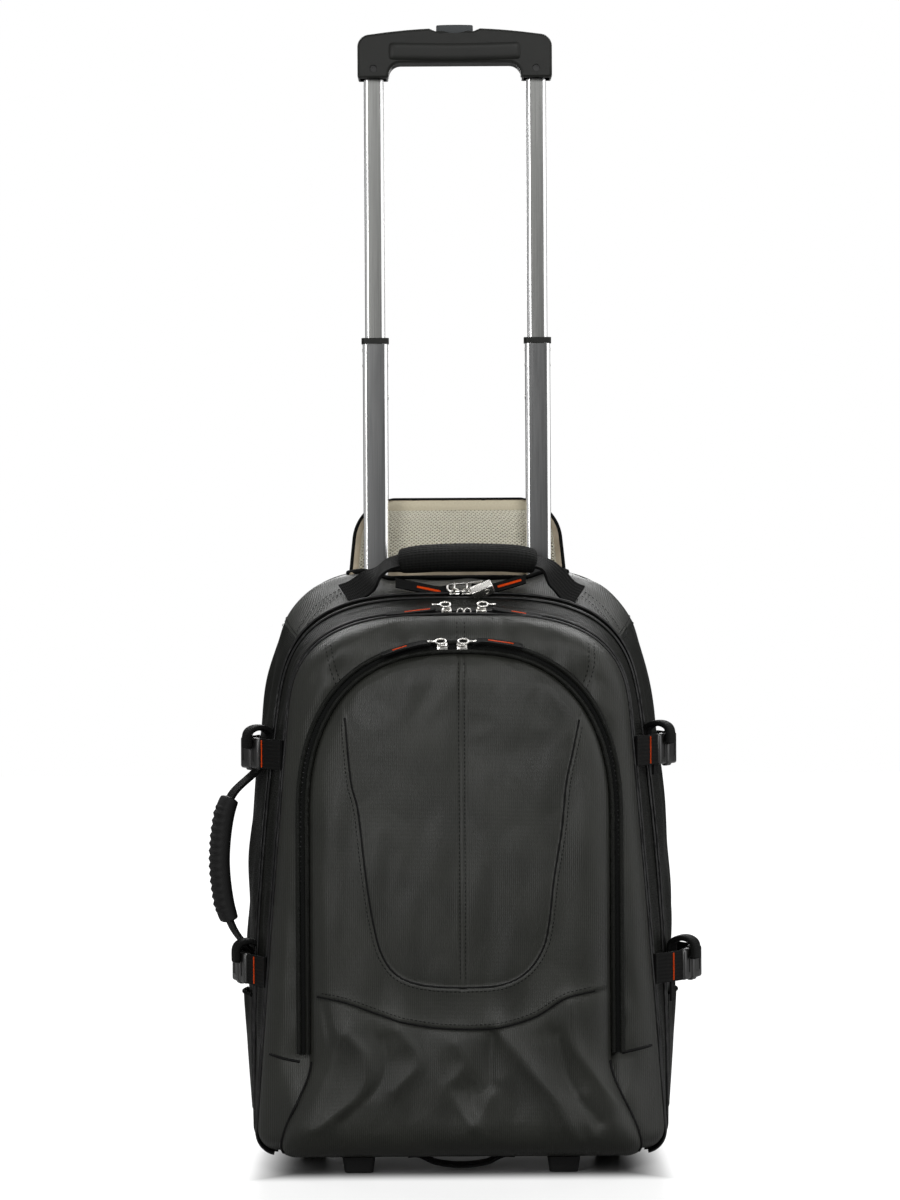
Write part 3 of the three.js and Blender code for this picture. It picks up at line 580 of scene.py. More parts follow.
# The side gussets take the nearly black copy of the nylon: painted shade.
for side, start, end in (("right", 0.0, SEAM), ("left", 1 - SEAM, 1.0)):
    gusset = cloth_grid(
        f"side_gusset_{side}_cloth", 140, 30, gusset_shape(start, end, REAR, MAIN_ZIP[0]), (0.62, 0.088)
    )
    give_wall(gusset, CLOTH)
    fit(gusset, black_nylon_and_painted_shade, "cloth", f"side_gusset_{side}")

MOUTH_SHARE = 0.2
MOUTH_ROW = 0.4
MOUTH_DROP, MOUTH_HEM = 0.009, 0.005


def mouth_edge(y):
    """The share of the outline at which the bag is as wide as the handle pocket's mouth."""
    return halved(np.full_like(y, SEAM), np.full_like(y, 0.5), lambda t: arch_point(t, y)[0] > MOUTH[0])


def mouth_sag(x, y):
    """How far the loose front edge of the handle pocket's mouth sinks, with the cloth before it."""
    inside = smooth((0.088 - np.abs(x)) / 0.030) * (y < MOUTH[1] + MOUTH_HEM)
    return MOUTH_DROP * smooth((y - 0.012) / 0.040) * inside


def top_gusset_shape(u, v):
    """The top gusset, with grid lines that follow the edges of the handle pocket's mouth."""
    front_share = np.clip((v - MOUTH_ROW) / (1 - MOUTH_ROW), 0, 1)
    rear_share = np.clip(v / MOUTH_ROW, 0, 1)
    y = REAR + (MOUTH[1] - REAR) * rear_share + (MAIN_ZIP[0] - MOUTH[1]) * front_share
    edge = mouth_edge(y)
    w = np.minimum(u, 1 - u)
    outer = SEAM + (edge - SEAM) * np.clip(w / MOUTH_SHARE, 0, 1)
    t = outer + (0.5 - edge) * np.clip((w - MOUTH_SHARE) / (0.5 - MOUTH_SHARE), 0, 1)
    t = np.where(u > 0.5, 1 - t, t)
    x, z = arch_point(t, y)
    slack = 0.001 * ripple(x, 1.7 * y, 0.05) * np.sin(math.pi * v)
    return x, y, z + slack - mouth_sag(x, y)


def pick_faces(piece, wanted):
    """Selects only the faces that a test wants, and leaves the piece in edit mode."""
    take(piece)
    bpy.ops.object.mode_set(mode="EDIT")
    bpy.ops.mesh.select_mode(type="FACE")
    bpy.ops.mesh.select_all(action="DESELECT")
    bpy.ops.object.mode_set(mode="OBJECT")
    for face in piece.data.polygons:
        face.select = bool(wanted(face))
    bpy.ops.object.mode_set(mode="EDIT")


def drop_faces(piece, wanted):
    """Deletes the faces that a test wants."""
    pick_faces(piece, wanted)
    bpy.ops.mesh.delete(type="FACE")
    bpy.ops.object.mode_set(mode="OBJECT")


top_gusset = cloth_grid("top_gusset_cloth", 100, 30, top_gusset_shape, (0.33, 0.088))
drop_faces(top_gusset, lambda face: abs(face.center.x) < MOUTH[0] and face.center.y > MOUTH[1])
give_wall(top_gusset, CLOTH)
fit(top_gusset, nylon, "cloth", "top_gusset")


def spline(points, count):
    """Evenly spaced points on a smooth curve through a few given ones."""
    given = np.asarray(points, dtype=float)
    ends = np.vstack((2 * given[0] - given[1], given, 2 * given[-1] - given[-2]))
    pieces = []
    for i in range(len(given) - 1):
        s = np.linspace(0, 1, 24, endpoint=False)[:, None]
        a, b, c, d = ends[i:i + 4]
        curve = 2 * b + (c - a) * s + (2 * a - 5 * b + 4 * c - d) * s ** 2
        pieces.append(0.5 * (curve + (3 * b - a - 3 * c + d) * s ** 3))
    return resample(np.vstack(pieces + [given[-1:]]), count)


def resample(path, count):
    """The same path as evenly spaced points."""
    steps = np.linalg.norm(np.diff(path, axis=0), axis=1)
    run = np.concatenate(([0], np.cumsum(steps)))
    at = np.linspace(0, run[-1], count)
    return np.column_stack([np.interp(at, run, path[:, i]) for i in range(path.shape[1])])


def path_length(path):
    """How long a path is."""
    return float(np.linalg.norm(np.diff(path, axis=0), axis=1).sum())


def unit(vectors):
    """The same vectors, each of length 1."""
    return vectors / np.linalg.norm(vectors, axis=-1, keepdims=True)


def round_cord(name, path, radius):
    """A round cord along a path, from a bevelled curve made a mesh."""
    curve = bpy.data.curves.new(name, "CURVE")
    curve.dimensions = "3D"
    curve.bevel_depth = radius
    curve.bevel_resolution = 2
    curve.use_fill_caps = True
    line = curve.splines.new("POLY")
    line.points.add(len(path) - 1)
    line.points.foreach_set("co", np.column_stack((path, np.ones(len(path)))).ravel())
    take(new_object(name, curve))
    bpy.ops.object.convert(target="MESH")
    return bpy.context.object


def join(name, pieces):
    """Several modelled shapes as one piece."""
    bpy.ops.object.select_all(action="DESELECT")
    for piece in pieces:
        piece.select_set(True)
    bpy.context.view_layer.objects.active = pieces[0]
    if len(pieces) > 1:
        bpy.ops.object.join()
    pieces[0].name = name
    return pieces[0]


# Stitching thread
# Black bonded polyester thread, 0.6 mm thick, in lockstitches of about 3 mm that lie in rows along
# the seams. One stitch is modelled and set down along each row.
STITCH_PITCH = 0.0036
STITCH_SIZE = (0.0028, 0.0008, 0.0006)
ROW_LIFT, SHOULDER_LIFT = 0.0004, 0.0008
THREAD_TWIST = 0.0009
SHOULDER_ROWS = (
    (0.573, 0.032, 0.620, 0.014), (0.573, 0.027, 0.613, 0.007),
    (0.424, 0.032, 0.380, 0.014), (0.427, 0.027, 0.387, 0.007),
)

# Twisted polyester thread: black, with a slight silky shine from its round strands.
thread, tree, shader = new_material("black_polyester_thread", "#060606", 0.6)
thread_place = add_node(tree, "ShaderNodeTexCoord")
thread_twist = add_node(
    tree,
    "ShaderNodeTexWave",
    {"Vector": thread_place.outputs["Object"], "Scale": WAVE_TURN / THREAD_TWIST},
    bands_direction="DIAGONAL",
)
thread_bump = add_node(
    tree, "ShaderNodeBump", {"Height": thread_twist.outputs["Fac"], "Strength": 0.3, "Distance": 0.0002}
)
fill(tree, shader, {"Normal": thread_bump.outputs["Normal"], "Specular IOR Level": 0.15})

bpy.ops.mesh.primitive_uv_sphere_add(segments=6, ring_count=4, radius=0.5)
stitch = added("one_stitch", STITCH_SIZE)


def repeat(name, model, places, along, out):
    """Copies of a small model as one mesh: its x lies along, and its z out of the surface."""
    along, out = unit(along), unit(out)
    across = unit(np.cross(out, along))
    out = np.cross(along, across)
    shape = np.array([vertex.co[:] for vertex in model.data.vertices])
    turned = np.stack((along, across, out), axis=1)
    points = places[:, None, :] + np.einsum("vk,nkj->nvj", shape, turned)
    polygons = [tuple(face.vertices) for face in model.data.polygons]
    faces = [tuple(i + k * len(shape) for i in face) for k in range(len(places)) for face in polygons]
    mesh = bpy.data.meshes.new(name)
    mesh.from_pydata(points.reshape(-1, 3).tolist(), [], faces)
    return new_object(name, mesh)


def stitch_row(name, path, out):
    """A row of stitches along a path on a surface whose outward direction is given."""
    count = max(int(path_length(path) / STITCH_PITCH), 3)
    places = resample(np.column_stack((path, np.broadcast_to(out, path.shape))), count)
    line = places[:, :3]
    return repeat(name, stitch, line, np.gradient(line, axis=0), places[:, 3:])


def outline_path(y, start, end, count, lift=0.0):
    """The bag's outline at a depth as a path, with its outward directions."""
    t = np.linspace(start, end, count)
    x, z = arch_point(t, y)
    path = np.column_stack((x, np.full_like(x, y), z))
    forward = np.gradient(path, axis=0)
    out = unit(np.column_stack((forward[:, 2], np.zeros(count), -forward[:, 0])))
    return path + lift * out, out


gusset_rows = []
for t in (SEAM, 1 - SEAM):
    for shift in (-0.0025, 0.0025):
        y = np.linspace(REAR - 0.004, MAIN_ZIP[0] + 0.004, 40)
        x, z = arch_point(np.full_like(y, t + shift), y)
        row = np.column_stack((x, y, z))
        out = unit((row - [0.0, 0.0, SPRING]) * [1.0, 0.0, 1.0])
        gusset_rows.append(stitch_row("gusset_row", row + ROW_LIFT * out, out))
for y in (REAR - 0.006, MAIN_ZIP[0] + 0.004):
    for start, end in ((0.02, SEAM), (1 - SEAM, 0.98)):
        row, out = outline_path(y, start, end, 160, ROW_LIFT)
        gusset_rows.append(stitch_row("gusset_row", row, out))
for t0, y0, t1, y1 in SHOULDER_ROWS:
    x, z = arch_point(np.linspace(t0, t1, 60), np.linspace(y0, y1, 60))
    row = np.column_stack((x, np.linspace(y0, y1, 60), z))
    out = unit((row - [0.0, 0.3, SPRING]) * [0.6, 0.25, 1.0])
    gusset_rows.append(stitch_row("gusset_row", row + SHOULDER_LIFT * out, out))
fit(join("gusset_stitches", gusset_rows), thread, "cloth")

# Base and back panel
# The base is a stiffened sheet under the bag, notched round the wheel housings. The back panel is
# foam under ribbed nylon, quilted in two columns, so that it rests softly on the wearer's back.
BASE_TOP = 0.0165
BASE_FRONT = -0.084
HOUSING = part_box("wheel_housing_right")
HOUSING_GAP = 0.0006
BACK_CROWN = 0.1050
BACK_CENTRE = 0.29
BACK_ROLL, BACK_INSET = 0.16, 0.075
CHANNEL_WIDTH, CHANNEL_DEPTH = 0.012, 0.0035
QUILT_PITCH, QUILT_DEPTH = 0.085, 0.0018
REAR_CORD = 0.0018
ARCH_SHARE = 0.82


def base_shape(u, v):
    """The base panel: its edge runs just inside the gussets and narrows under the organiser."""
    y = REAR + (BASE_FRONT - REAR) * v
    flat = side_at(np.maximum(y, BODY_Y[0]), BASE + CORNER) - CORNER
    edge = flat - 0.0012 - 0.5 * np.maximum(BODY_Y[0] - y, 0)
    return (2 * u - 1) * edge, y, BASE_TOP + 0 * u


base_panel = cloth_grid("base_panel_cloth", 72, 44, lambda u, v: base_shape(1 - u, v), (0.29, 0.176))
drop_faces(
    base_panel,
    lambda face: abs(face.center.x) > HOUSING[0][0] - 0.004 and face.center.y > HOUSING[0][1] - 0.003,
)
give_wall(base_panel, BASE_TOP - BASE, 1.0)
fit(base_panel, nylon, "cloth", "base_panel")


def rear_outline(u):
    """x and z of the bag's whole rear outline: over the arch, then back along the base."""
    x, z = arch_point(np.clip(u / ARCH_SHARE, 0, 1), REAR)
    back = np.clip((u - ARCH_SHARE) / (1 - ARCH_SHARE), 0, 1)
    foot = float(arch_point(np.array(0.0), np.array(REAR))[0])
    return np.where(u > ARCH_SHARE, foot * (2 * back - 1), x), np.where(u > ARCH_SHARE, BASE, z)


def back_shape(u, v):
    """The back panel: a rolled edge out to the seam, then foam quilted in two columns."""
    x, z = rear_outline(u)
    roll = np.clip(v / BACK_ROLL, 0, 1)
    inner = np.clip((v - BACK_ROLL) / (1 - BACK_ROLL), 0, 1)
    reach = 1 - BACK_INSET * roll - (1 - BACK_INSET) * inner
    px = x * reach
    pz = BACK_CENTRE + (z - BACK_CENTRE) * reach
    rise = (BACK_CROWN - REAR) * np.sqrt(np.clip(1 - (1 - roll) ** 2, 0, 1))
    channel = np.exp(-(px / CHANNEL_WIDTH) ** 2) * smooth((0.46 - pz) / 0.03) * smooth((pz - 0.06) / 0.03)
    ribs = 0.5 + 0.5 * np.cos(2 * math.pi * (pz - 0.1) / QUILT_PITCH)
    quilt = QUILT_DEPTH * ribs ** 8 * smooth((0.44 - pz) / 0.02) * smooth((pz - 0.085) / 0.02)
    quilt = quilt * smooth((0.125 - np.abs(px)) / 0.01)
    dip = CHANNEL_DEPTH * channel + quilt
    return px, REAR + 0.0004 + rise - dip * smooth(inner / 0.05), pz


def cut_across(piece, places, normal=(1.0, 0.0, 0.0)):
    """Cuts a piece across at several places along x or another direction."""
    take(piece)
    bpy.ops.object.mode_set(mode="EDIT")
    bpy.ops.mesh.select_mode(type="FACE")
    for place in places:
        bpy.ops.mesh.select_all(action="SELECT")
        bpy.ops.mesh.bisect(plane_co=[place * part for part in normal], plane_no=normal)
    bpy.ops.object.mode_set(mode="OBJECT")


back_panel = cloth_grid("back_panel_pad", 250, 70, back_shape, (1.3, 0.26))
bpy.ops.object.mode_set(mode="EDIT")
bpy.ops.mesh.select_all(action="SELECT")
bpy.ops.mesh.remove_doubles(threshold=0.00005)
bpy.ops.object.mode_set(mode="OBJECT")
notch_x = (HOUSING[0][0] - HOUSING_GAP, HOUSING[1][0] + HOUSING_GAP)
notch_top = HOUSING[1][2] + HOUSING_GAP
cut_across(back_panel, [side * x for side in (1, -1) for x in notch_x])
cut_across(back_panel, [notch_top], (0.0, 0.0, 1.0))
drop_faces(
    back_panel,
    lambda face: notch_x[0] < abs(face.center.x) < notch_x[1] and face.center.z < notch_top,
)
give_wall(back_panel, CLOTH)
fit(back_panel, nylon, "cloth", "back_panel")

rear_path, _ = outline_path(REAR + 0.0006, 0.0, 1.0, 400, 0.0006)
rear_piping = round_cord("rear_piping", rear_path, REAR_CORD)

# Zips of the main compartment and organiser
# Black coil zips: a woven tape 8 mm wide on view, sunk a little into its seam, two rows of nylon
# coil closed down the middle, and a corded edge of nylon either side, all round the arch.
ORGANISER_ZIP = (-0.046, -0.054)
ZIP_RUN = (0.03, 0.97)
ZIP_SUNK = 0.001
ZIP_GAP = 0.0004
TAPE = 0.0014
TOOTH = (0.0011, 0.0034, 0.0012)
TOOTH_PITCH = 0.0021
TAPE_SLANT = 0.0014
EDGE_CORD = 0.0016


def relief(tree, shader, height, tones, strength, depth, shine=0.5):
    """Draws a pattern on a finish: its heights mix two tones and stand out of the surface."""
    tone = add_node(
        tree, "ShaderNodeMix", {0: height, 6: linear(tones[0]), 7: linear(tones[1])}, data_type="RGBA"
    )
    bump = add_node(tree, "ShaderNodeBump", {"Height": height, "Strength": strength, "Distance": depth})
    finish = {"Base Color": tone.outputs[2], "Normal": bump.outputs["Normal"], "Specular IOR Level": shine}
    fill(tree, shader, finish)


# Woven polyester tape: deep black and matt, with a fine herringbone. Its real pitch of 0.5 mm is
# drawn at 1.4 mm so that it shows.
zip_tape, tree, shader = new_material("woven_zip_tape", "#191a19", 0.7)
tape_uv = add_node(tree, "ShaderNodeUVMap").outputs["UV"]
tape_slant = add_node(
    tree,
    "ShaderNodeTexWave",
    {"Vector": tape_uv, "Scale": WAVE_TURN / TAPE_SLANT, "Distortion": 1.0},
    bands_direction="DIAGONAL",
)
relief(tree, shader, tape_slant.outputs["Fac"], ("#060706", "#111211"), 0.4, 0.0003, 0.1)

# Nylon monofilament coil: black, smooth and a little glossy, finely rubbed along its crowns.
nylon_coil = mottled("nylon_coil", "#090909", 0.35, 400.0, gloss=(0.25, 0.5), shine=0.35)


def block(name, size, place):
    """A plain box of a size at a place."""
    bpy.ops.mesh.primitive_cube_add(size=1.0, location=place)
    return added(name, size)


def rounded_box(name, size, place, bevel, segments=3):
    """A box with every edge rounded, at a place."""
    piece = block(name, size, place)
    bpy.ops.object.mode_set(mode="EDIT")
    bpy.ops.mesh.select_all(action="SELECT")
    bpy.ops.mesh.bevel(offset=bevel, segments=segments)
    bpy.ops.object.mode_set(mode="OBJECT")
    return piece


tooth = rounded_box("one_tooth", TOOTH, (0.0, 0.0, 0.0), 0.0003, 1)


def coil(name, path, out):
    """Two interlocked rows of teeth along a path on a tape."""
    count = int(path_length(path) / TOOTH_PITCH)
    fine = resample(np.column_stack((path, out)), count)
    line, up = fine[:, :3], unit(fine[:, 3:])
    forward = unit(np.gradient(line, axis=0))
    stagger = 0.0007 * np.where(np.arange(count) % 2, 1.0, -1.0)[:, None]
    return repeat(name, tooth, line + stagger * np.cross(up, forward), forward, up)


for zip_name, (rear, front) in (("main_zip", MAIN_ZIP), ("organiser_zip", ORGANISER_ZIP)):
    def tape_shape(u, v, rear=rear - ZIP_GAP, front=front + ZIP_GAP):
        y = rear + (front - rear) * v
        x, z = arch_point(ZIP_RUN[0] + (ZIP_RUN[1] - ZIP_RUN[0]) * u, y, ZIP_SUNK)
        return x, y, z
    tape = cloth_grid(f"{zip_name}_tape", 320, 8, tape_shape, (1.25, rear - front))
    give_wall(tape, TAPE)
    fit(tape, zip_tape, "zip_tape", zip_name)
    middle, middle_out = outline_path((rear + front) / 2, *ZIP_RUN, 500, 0.0002 - ZIP_SUNK)
    fit(coil(f"{zip_name}_coil", middle, middle_out), nylon_coil, "zip_tape")
    edges = []
    for y in (rear + 0.0006, front - 0.0006):
        edge, _ = outline_path(y, 0.01, 0.99, 400, 0.0004)
        edges.append(round_cord("edge", edge, EDGE_CORD))
    fit(join(f"{zip_name}_edging", edges), nylon_coil, "zip_tape")
fit(rear_piping, zip_tape, "zip_tape")

# Organiser
# A second compartment in front of the main one: a gusset of the same nylon, and a bowed front
# panel whose upper corners are pieced with a double row of topstitching.
ORGANISER_BASE = 0.017
ORGANISER_RIM = -0.0544
ORGANISER_BULGE = 0.031
ORGANISER_TOP = float(body_size("top", BODY_Y[0]))
SIDE_ROUND, TOP_ROUND, FOOT_ROUND = 0.030, 0.040, 0.012
CORNER_SEAMS = (
    ((-0.1120, 0.4530), (-0.1075, 0.4330), (-0.1000, 0.4130)),
    ((0.1145, 0.4530), (0.1135, 0.4330), (0.1070, 0.4140)),
)
STRIP_SEAM = 0.0995
STRIP_FILL = 0.013
STRIP_TOPS = (
    ((-0.1640, 0.1022), (-0.1500, 0.0990), (-0.1380, 0.0968)),
    ((0.1380, 0.1030), (0.1480, 0.1052), (0.1640, 0.1080)),
)
ORGANISER_SPARE = 0.09
ORGANISER_FOLDS = (
    (((-0.1494, 0.3655), (-0.1530, 0.2400), (-0.1535, 0.1235)), 0.0050, 0.0030),
    (((-0.1430, 0.3300), (-0.1440, 0.2300), (-0.1440, 0.1350)), 0.0035, -0.0022),
    (((-0.1140, 0.4190), (-0.1420, 0.3760)), 0.0060, 0.0035),
    (((-0.1245, 0.3760), (-0.1460, 0.3400)), 0.0050, 0.0030),
    (((-0.1230, 0.4300), (-0.1450, 0.4000)), 0.0050, -0.0025),
    (((0.1137, 0.4500), (0.1350, 0.4260)), 0.0060, 0.0035),
    (((0.1170, 0.4040), (0.1420, 0.3870)), 0.0055, 0.0032),
    (((0.1210, 0.4220), (0.1440, 0.4060)), 0.0050, -0.0028),
    (((0.1440, 0.3500), (0.1450, 0.2600), (0.1455, 0.1450)), 0.0040, -0.0022),
    (((0.1500, 0.3400), (0.1520, 0.2400), (0.1530, 0.1600)), 0.0045, 0.0026),
)
POCKET_HALF, POCKET_FLARE = 0.129, 0.027
POCKET_SPRING, POCKET_TOP, POCKET_BASE = 0.300, 0.446, 0.015
POCKET_CORNER = 0.012
POCKET_ARCH = 2.5
ZIP_ROOM = 0.0125
FORWARD = np.array([0.0, -1.0, 0.0])
STRIP_CORD = 0.0012


def rounded(distance, radius):
    """0 at an edge, rising on a quarter circle to 1 a radius inside it."""
    return np.sqrt(1 - (1 - np.clip(distance / radius, 0, 1)) ** 2)


def beside_line(x, z, path):
    """How far points of a panel are from a line drawn on it, positive on the line's left."""
    best = np.full(np.shape(x), 1.0)
    for (ax, az), (bx, bz) in zip(path[:-1], path[1:]):
        length = (bx - ax) ** 2 + (bz - az) ** 2
        share = np.clip(((x - ax) * (bx - ax) + (z - az) * (bz - az)) / length, 0, 1)
        away = np.hypot(x - ax - share * (bx - ax), z - az - share * (bz - az))
        left = np.where((bx - ax) * (z - az) < (bz - az) * (x - ax), -1.0, 1.0)
        best = np.where(away < np.abs(best), away * left, best)
    return best


def distance_to(x, z, path):
    """How far points of a panel are from a line drawn on it."""
    return np.abs(beside_line(x, z, path))


def organiser_y(x, z):
    """The depth of the organiser's front panel, smooth."""
    wide = half_width(BODY_Y[0], z, ORGANISER_BASE)
    edges = rounded(wide - np.abs(x), SIDE_ROUND) * rounded(ORGANISER_TOP - z, TOP_ROUND)
    return ORGANISER_RIM - ORGANISER_BULGE * edges * rounded(z - ORGANISER_BASE, FOOT_ROUND)


corner_lines = [spline(seam, 24) for seam in CORNER_SEAMS]
side_folds = [(spline(path, 24), width, height) for path, width, height in ORGANISER_FOLDS]


def organiser_face(x, z):
    """The panel with its seams pulled in, its slack, and the strips beside the pocket's foot."""
    y = organiser_y(x, z)
    for line in corner_lines:
        y = y + 0.0016 * np.exp(-(distance_to(x, z, line) / 0.0022) ** 2)
    y = y + 0.0014 * np.exp(-((x - 0.002) / 0.002) ** 2) * smooth((z - 0.452) / 0.004)
    inside = smooth((half_width(BODY_Y[0], z, ORGANISER_BASE) - np.abs(x) - 0.006) / 0.03)
    slack = 0.0022 * ripple(1.7 * x, 0.6 * z, 0.07) + 0.0012 * ripple(0.7 * z, 1.4 * x, 0.031)
    for line, width, height in side_folds:
        slack = slack - height * np.exp(-(distance_to(x, z, line) / width) ** 2)
    outer = smooth((np.abs(x) - 0.114) / 0.010)
    strip = outer * smooth((STRIP_SEAM - z) / 0.0016)
    full = outer * smooth((STRIP_SEAM - z) / 0.045) * rounded(z - ORGANISER_BASE, 0.03)
    return y + slack * inside - (0.0014 * strip + STRIP_FILL * full) * inside


def pocket_half(z):
    """The pocket's half width: upright above, flaring out over the strips at its foot."""
    flare = POCKET_FLARE * smooth((0.102 - z) / 0.080)
    drop = np.clip(POCKET_CORNER - (z - POCKET_BASE), 0, POCKET_CORNER)
    corner = POCKET_CORNER - np.sqrt(POCKET_CORNER ** 2 - drop ** 2)
    up = np.clip((z - POCKET_SPRING) / (POCKET_TOP - POCKET_SPRING), 0, 1)
    return (POCKET_HALF + flare - corner) * (1 - up ** POCKET_ARCH) ** (1 / POCKET_ARCH)


def pocket_ground(points):
    """Which points of the organiser's panel stay flat: its seams, and all under the pocket's zip."""
    x, z = points[:, 0], points[:, 2]
    on_seam = np.minimum(*[distance_to(x, z, line) for line in corner_lines]) < 0.0035
    return on_seam | (np.abs(x) < pocket_half(np.maximum(z - ZIP_ROOM, POCKET_BASE)) + ZIP_ROOM)


def organiser_shape(u, v):
    """The organiser's front panel, closer woven towards its rim."""
    across = np.sin((u - 0.5) * math.pi)
    up = 0.5 - 0.5 * np.cos(v * math.pi)
    z = ORGANISER_BASE + (ORGANISER_TOP - 0.001 - ORGANISER_BASE) * up
    x = across * half_width(BODY_Y[0], z, ORGANISER_BASE)
    return x, organiser_face(x, z), z


# The organiser's gusset takes the nearly black copy of the nylon: painted shade.
organiser_gusset = cloth_grid(
    "organiser_gusset_cloth",
    320,
    16,
    gusset_shape(0.0, 1.0, MAIN_ZIP[1] - ZIP_GAP, ORGANISER_ZIP[0]),
    (1.25, 0.041),
)
give_wall(organiser_gusset, CLOTH)
fit(organiser_gusset, black_nylon_and_painted_shade, "cloth", "organiser_gusset")


def flat_uv(piece):
    """Lays a front panel's UVs out by its places across and up, in metres."""
    uv_points = piece.data.uv_layers[0].data
    for loop in piece.data.loops:
        place = piece.data.vertices[loop.vertex_index].co
        uv_points[loop.index].uv = (place.x, place.z)


def on_panel(piece, x, z, lift=0.0):
    """A path over a panel, met from the front at places across and up, and lifted off it."""
    hits = [piece.ray_cast((a, -1.0, b), (0.0, 1.0, 0.0)) for a, b in zip(x, z)]
    return np.column_stack((x, np.array([place[1] for _, place, _, _ in hits]) - lift, z))


organiser_front = cloth_grid("organiser_front_cloth", 76, 90, organiser_shape, (0.33, 0.46))
flat_uv(organiser_front)
settle(organiser_front, pocket_ground, lambda points: np.ones(len(points)), ORGANISER_SPARE, 0.8, 0.007)
refine(organiser_front)

organiser_rows = []
for line in corner_lines:
    for shift in (-0.0024, 0.0024):
        row = on_panel(organiser_front, line[:, 0] + shift, line[:, 1], 0.0002)
        organiser_rows.append(stitch_row("row", row, FORWARD))
for shift in (-0.0012, 0.0052):
    z = np.linspace(0.455, 0.472, 12)
    row = on_panel(organiser_front, np.full_like(z, shift), z, 0.0003)
    organiser_rows.append(stitch_row("row", row, np.array([0.0, -0.8, 0.6])))
fit(join("organiser_stitches", organiser_rows), thread, "cloth")
# Black cords along the top edges of the corner panels stand for the dark lines of these seams: painted shade.
strip_seam_shade_cords = []
for seam in STRIP_TOPS:
    path = on_panel(organiser_front, *spline(seam, 40).T)
    strip_seam_shade_cords.append(round_cord("seam_shade_cord", path, STRIP_CORD))
fit(join("corner_panel_seam_shade_cords", strip_seam_shade_cords), thread, "cloth")
give_wall(organiser_front, CLOTH)
fit(organiser_front, nylon, "cloth", "organiser_front", smooth_angle=70)

# Front pocket
# A gathered pocket on the organiser: its upper part is pieced round a shield-shaped panel, and the
# cloth below the lower seam is cut full, so that it hangs in soft folds down to the bag's foot.
POCKET_BULGE, POCKET_FILL = 0.015, 0.015
POCKET_SPARE = 0.07
POCKET_TUCK = 0.034
CREST, FALL = 0.3, 1.25
SHIELD_SEAM = (
    (-0.0985, 0.4050), (-0.0925, 0.3390), (-0.0865, 0.3135), (-0.0795, 0.2540), (-0.0735, 0.2160),
    (-0.0665, 0.1905), (-0.0540, 0.1735), (-0.0325, 0.1650), (0.0035, 0.1625), (0.0360, 0.1650),
    (0.0570, 0.1760), (0.0700, 0.1945), (0.0755, 0.2160), (0.0800, 0.2540), (0.0870, 0.2965),
    (0.0910, 0.3345), (0.0965, 0.3600), (0.1020, 0.3855), (0.1040, 0.4020),
)
LOWER_SEAM = (
    (-0.1310, 0.1555), (-0.1005, 0.1515), (-0.0665, 0.1395), (-0.0450, 0.1330), (-0.0155, 0.1285),
    (0.0270, 0.1285), (0.0610, 0.1370), (0.0865, 0.1525), (0.0995, 0.1565), (0.1230, 0.1610),
)
CENTRE_SEAM = ((0.0022, 0.4440), (0.0022, 0.1640))
MIDDLE_ROW = 0.0024
SEAM_CORD, FOOT_CORD = 0.0009, 0.0015
FOLDS = (
    (((0.031, 0.128), (0.058, 0.094), (0.081, 0.066), (0.099, 0.032)), 0.011, 0.0075),
    (((0.027, 0.122), (0.024, 0.100), (0.026, 0.080)), 0.008, -0.0055),
    (((-0.004, 0.116), (0.004, 0.100), (-0.003, 0.087), (-0.012, 0.076), (0.010, 0.046)), 0.009, 0.0038),
    (((0.030, 0.084), (0.022, 0.066), (0.011, 0.045)), 0.009, 0.0030),
    (((0.008, 0.078), (0.010, 0.060)), 0.008, -0.0030),
    (((-0.098, 0.124), (-0.081, 0.103), (-0.085, 0.073), (-0.124, 0.043)), 0.012, 0.0065),
    (((-0.066, 0.118), (-0.067, 0.086), (-0.100, 0.050)), 0.009, -0.0045),
    (((-0.054, 0.128), (-0.037, 0.100), (-0.056, 0.076)), 0.010, 0.0045),
    (((0.092, 0.150), (0.097, 0.112), (0.132, 0.066)), 0.008, 0.0055),
    (((0.080, 0.122), (0.092, 0.082), (0.116, 0.048)), 0.009, -0.0055),
    (((0.104, 0.070), (0.112, 0.036)), 0.008, 0.0040),
    (((-0.020, 0.032), (0.050, 0.026)), 0.020, 0.0035),
    (((-0.118, 0.150), (-0.112, 0.120), (-0.120, 0.094)), 0.007, -0.0035),
)

shield_line = spline(SHIELD_SEAM, 90)
lower_line = spline(LOWER_SEAM, 60)
centre_line = spline(CENTRE_SEAM, 40)
fold_lines = [(spline(path, 24), width, height) for path, width, height in FOLDS]


def pocket_face(x, z):
    """The pocket's front: its bulge, the folds of its foot, and the seams pulled into it."""
    behind = organiser_y(np.maximum(np.abs(x) - 0.004, 0), np.maximum(z + 0.004, 0.033)) - 0.0007
    edges = rounded(pocket_half(z) - np.abs(x), 0.024) * rounded(POCKET_TOP - z, 0.028)
    edges = edges * rounded(z - POCKET_BASE, POCKET_TUCK)
    full = POCKET_BULGE + POCKET_FILL * smooth((POCKET_TOP - z) / 0.230)
    for line, width, height in fold_lines:
        near = distance_to(x, z, line) / width
        full = full + height * np.exp(CREST - FALL * np.sqrt(near ** 2 + (CREST / FALL) ** 2))
    full = full + 0.0016 * ripple(1.6 * x, 0.7 * z, 0.085)
    return behind - full * edges


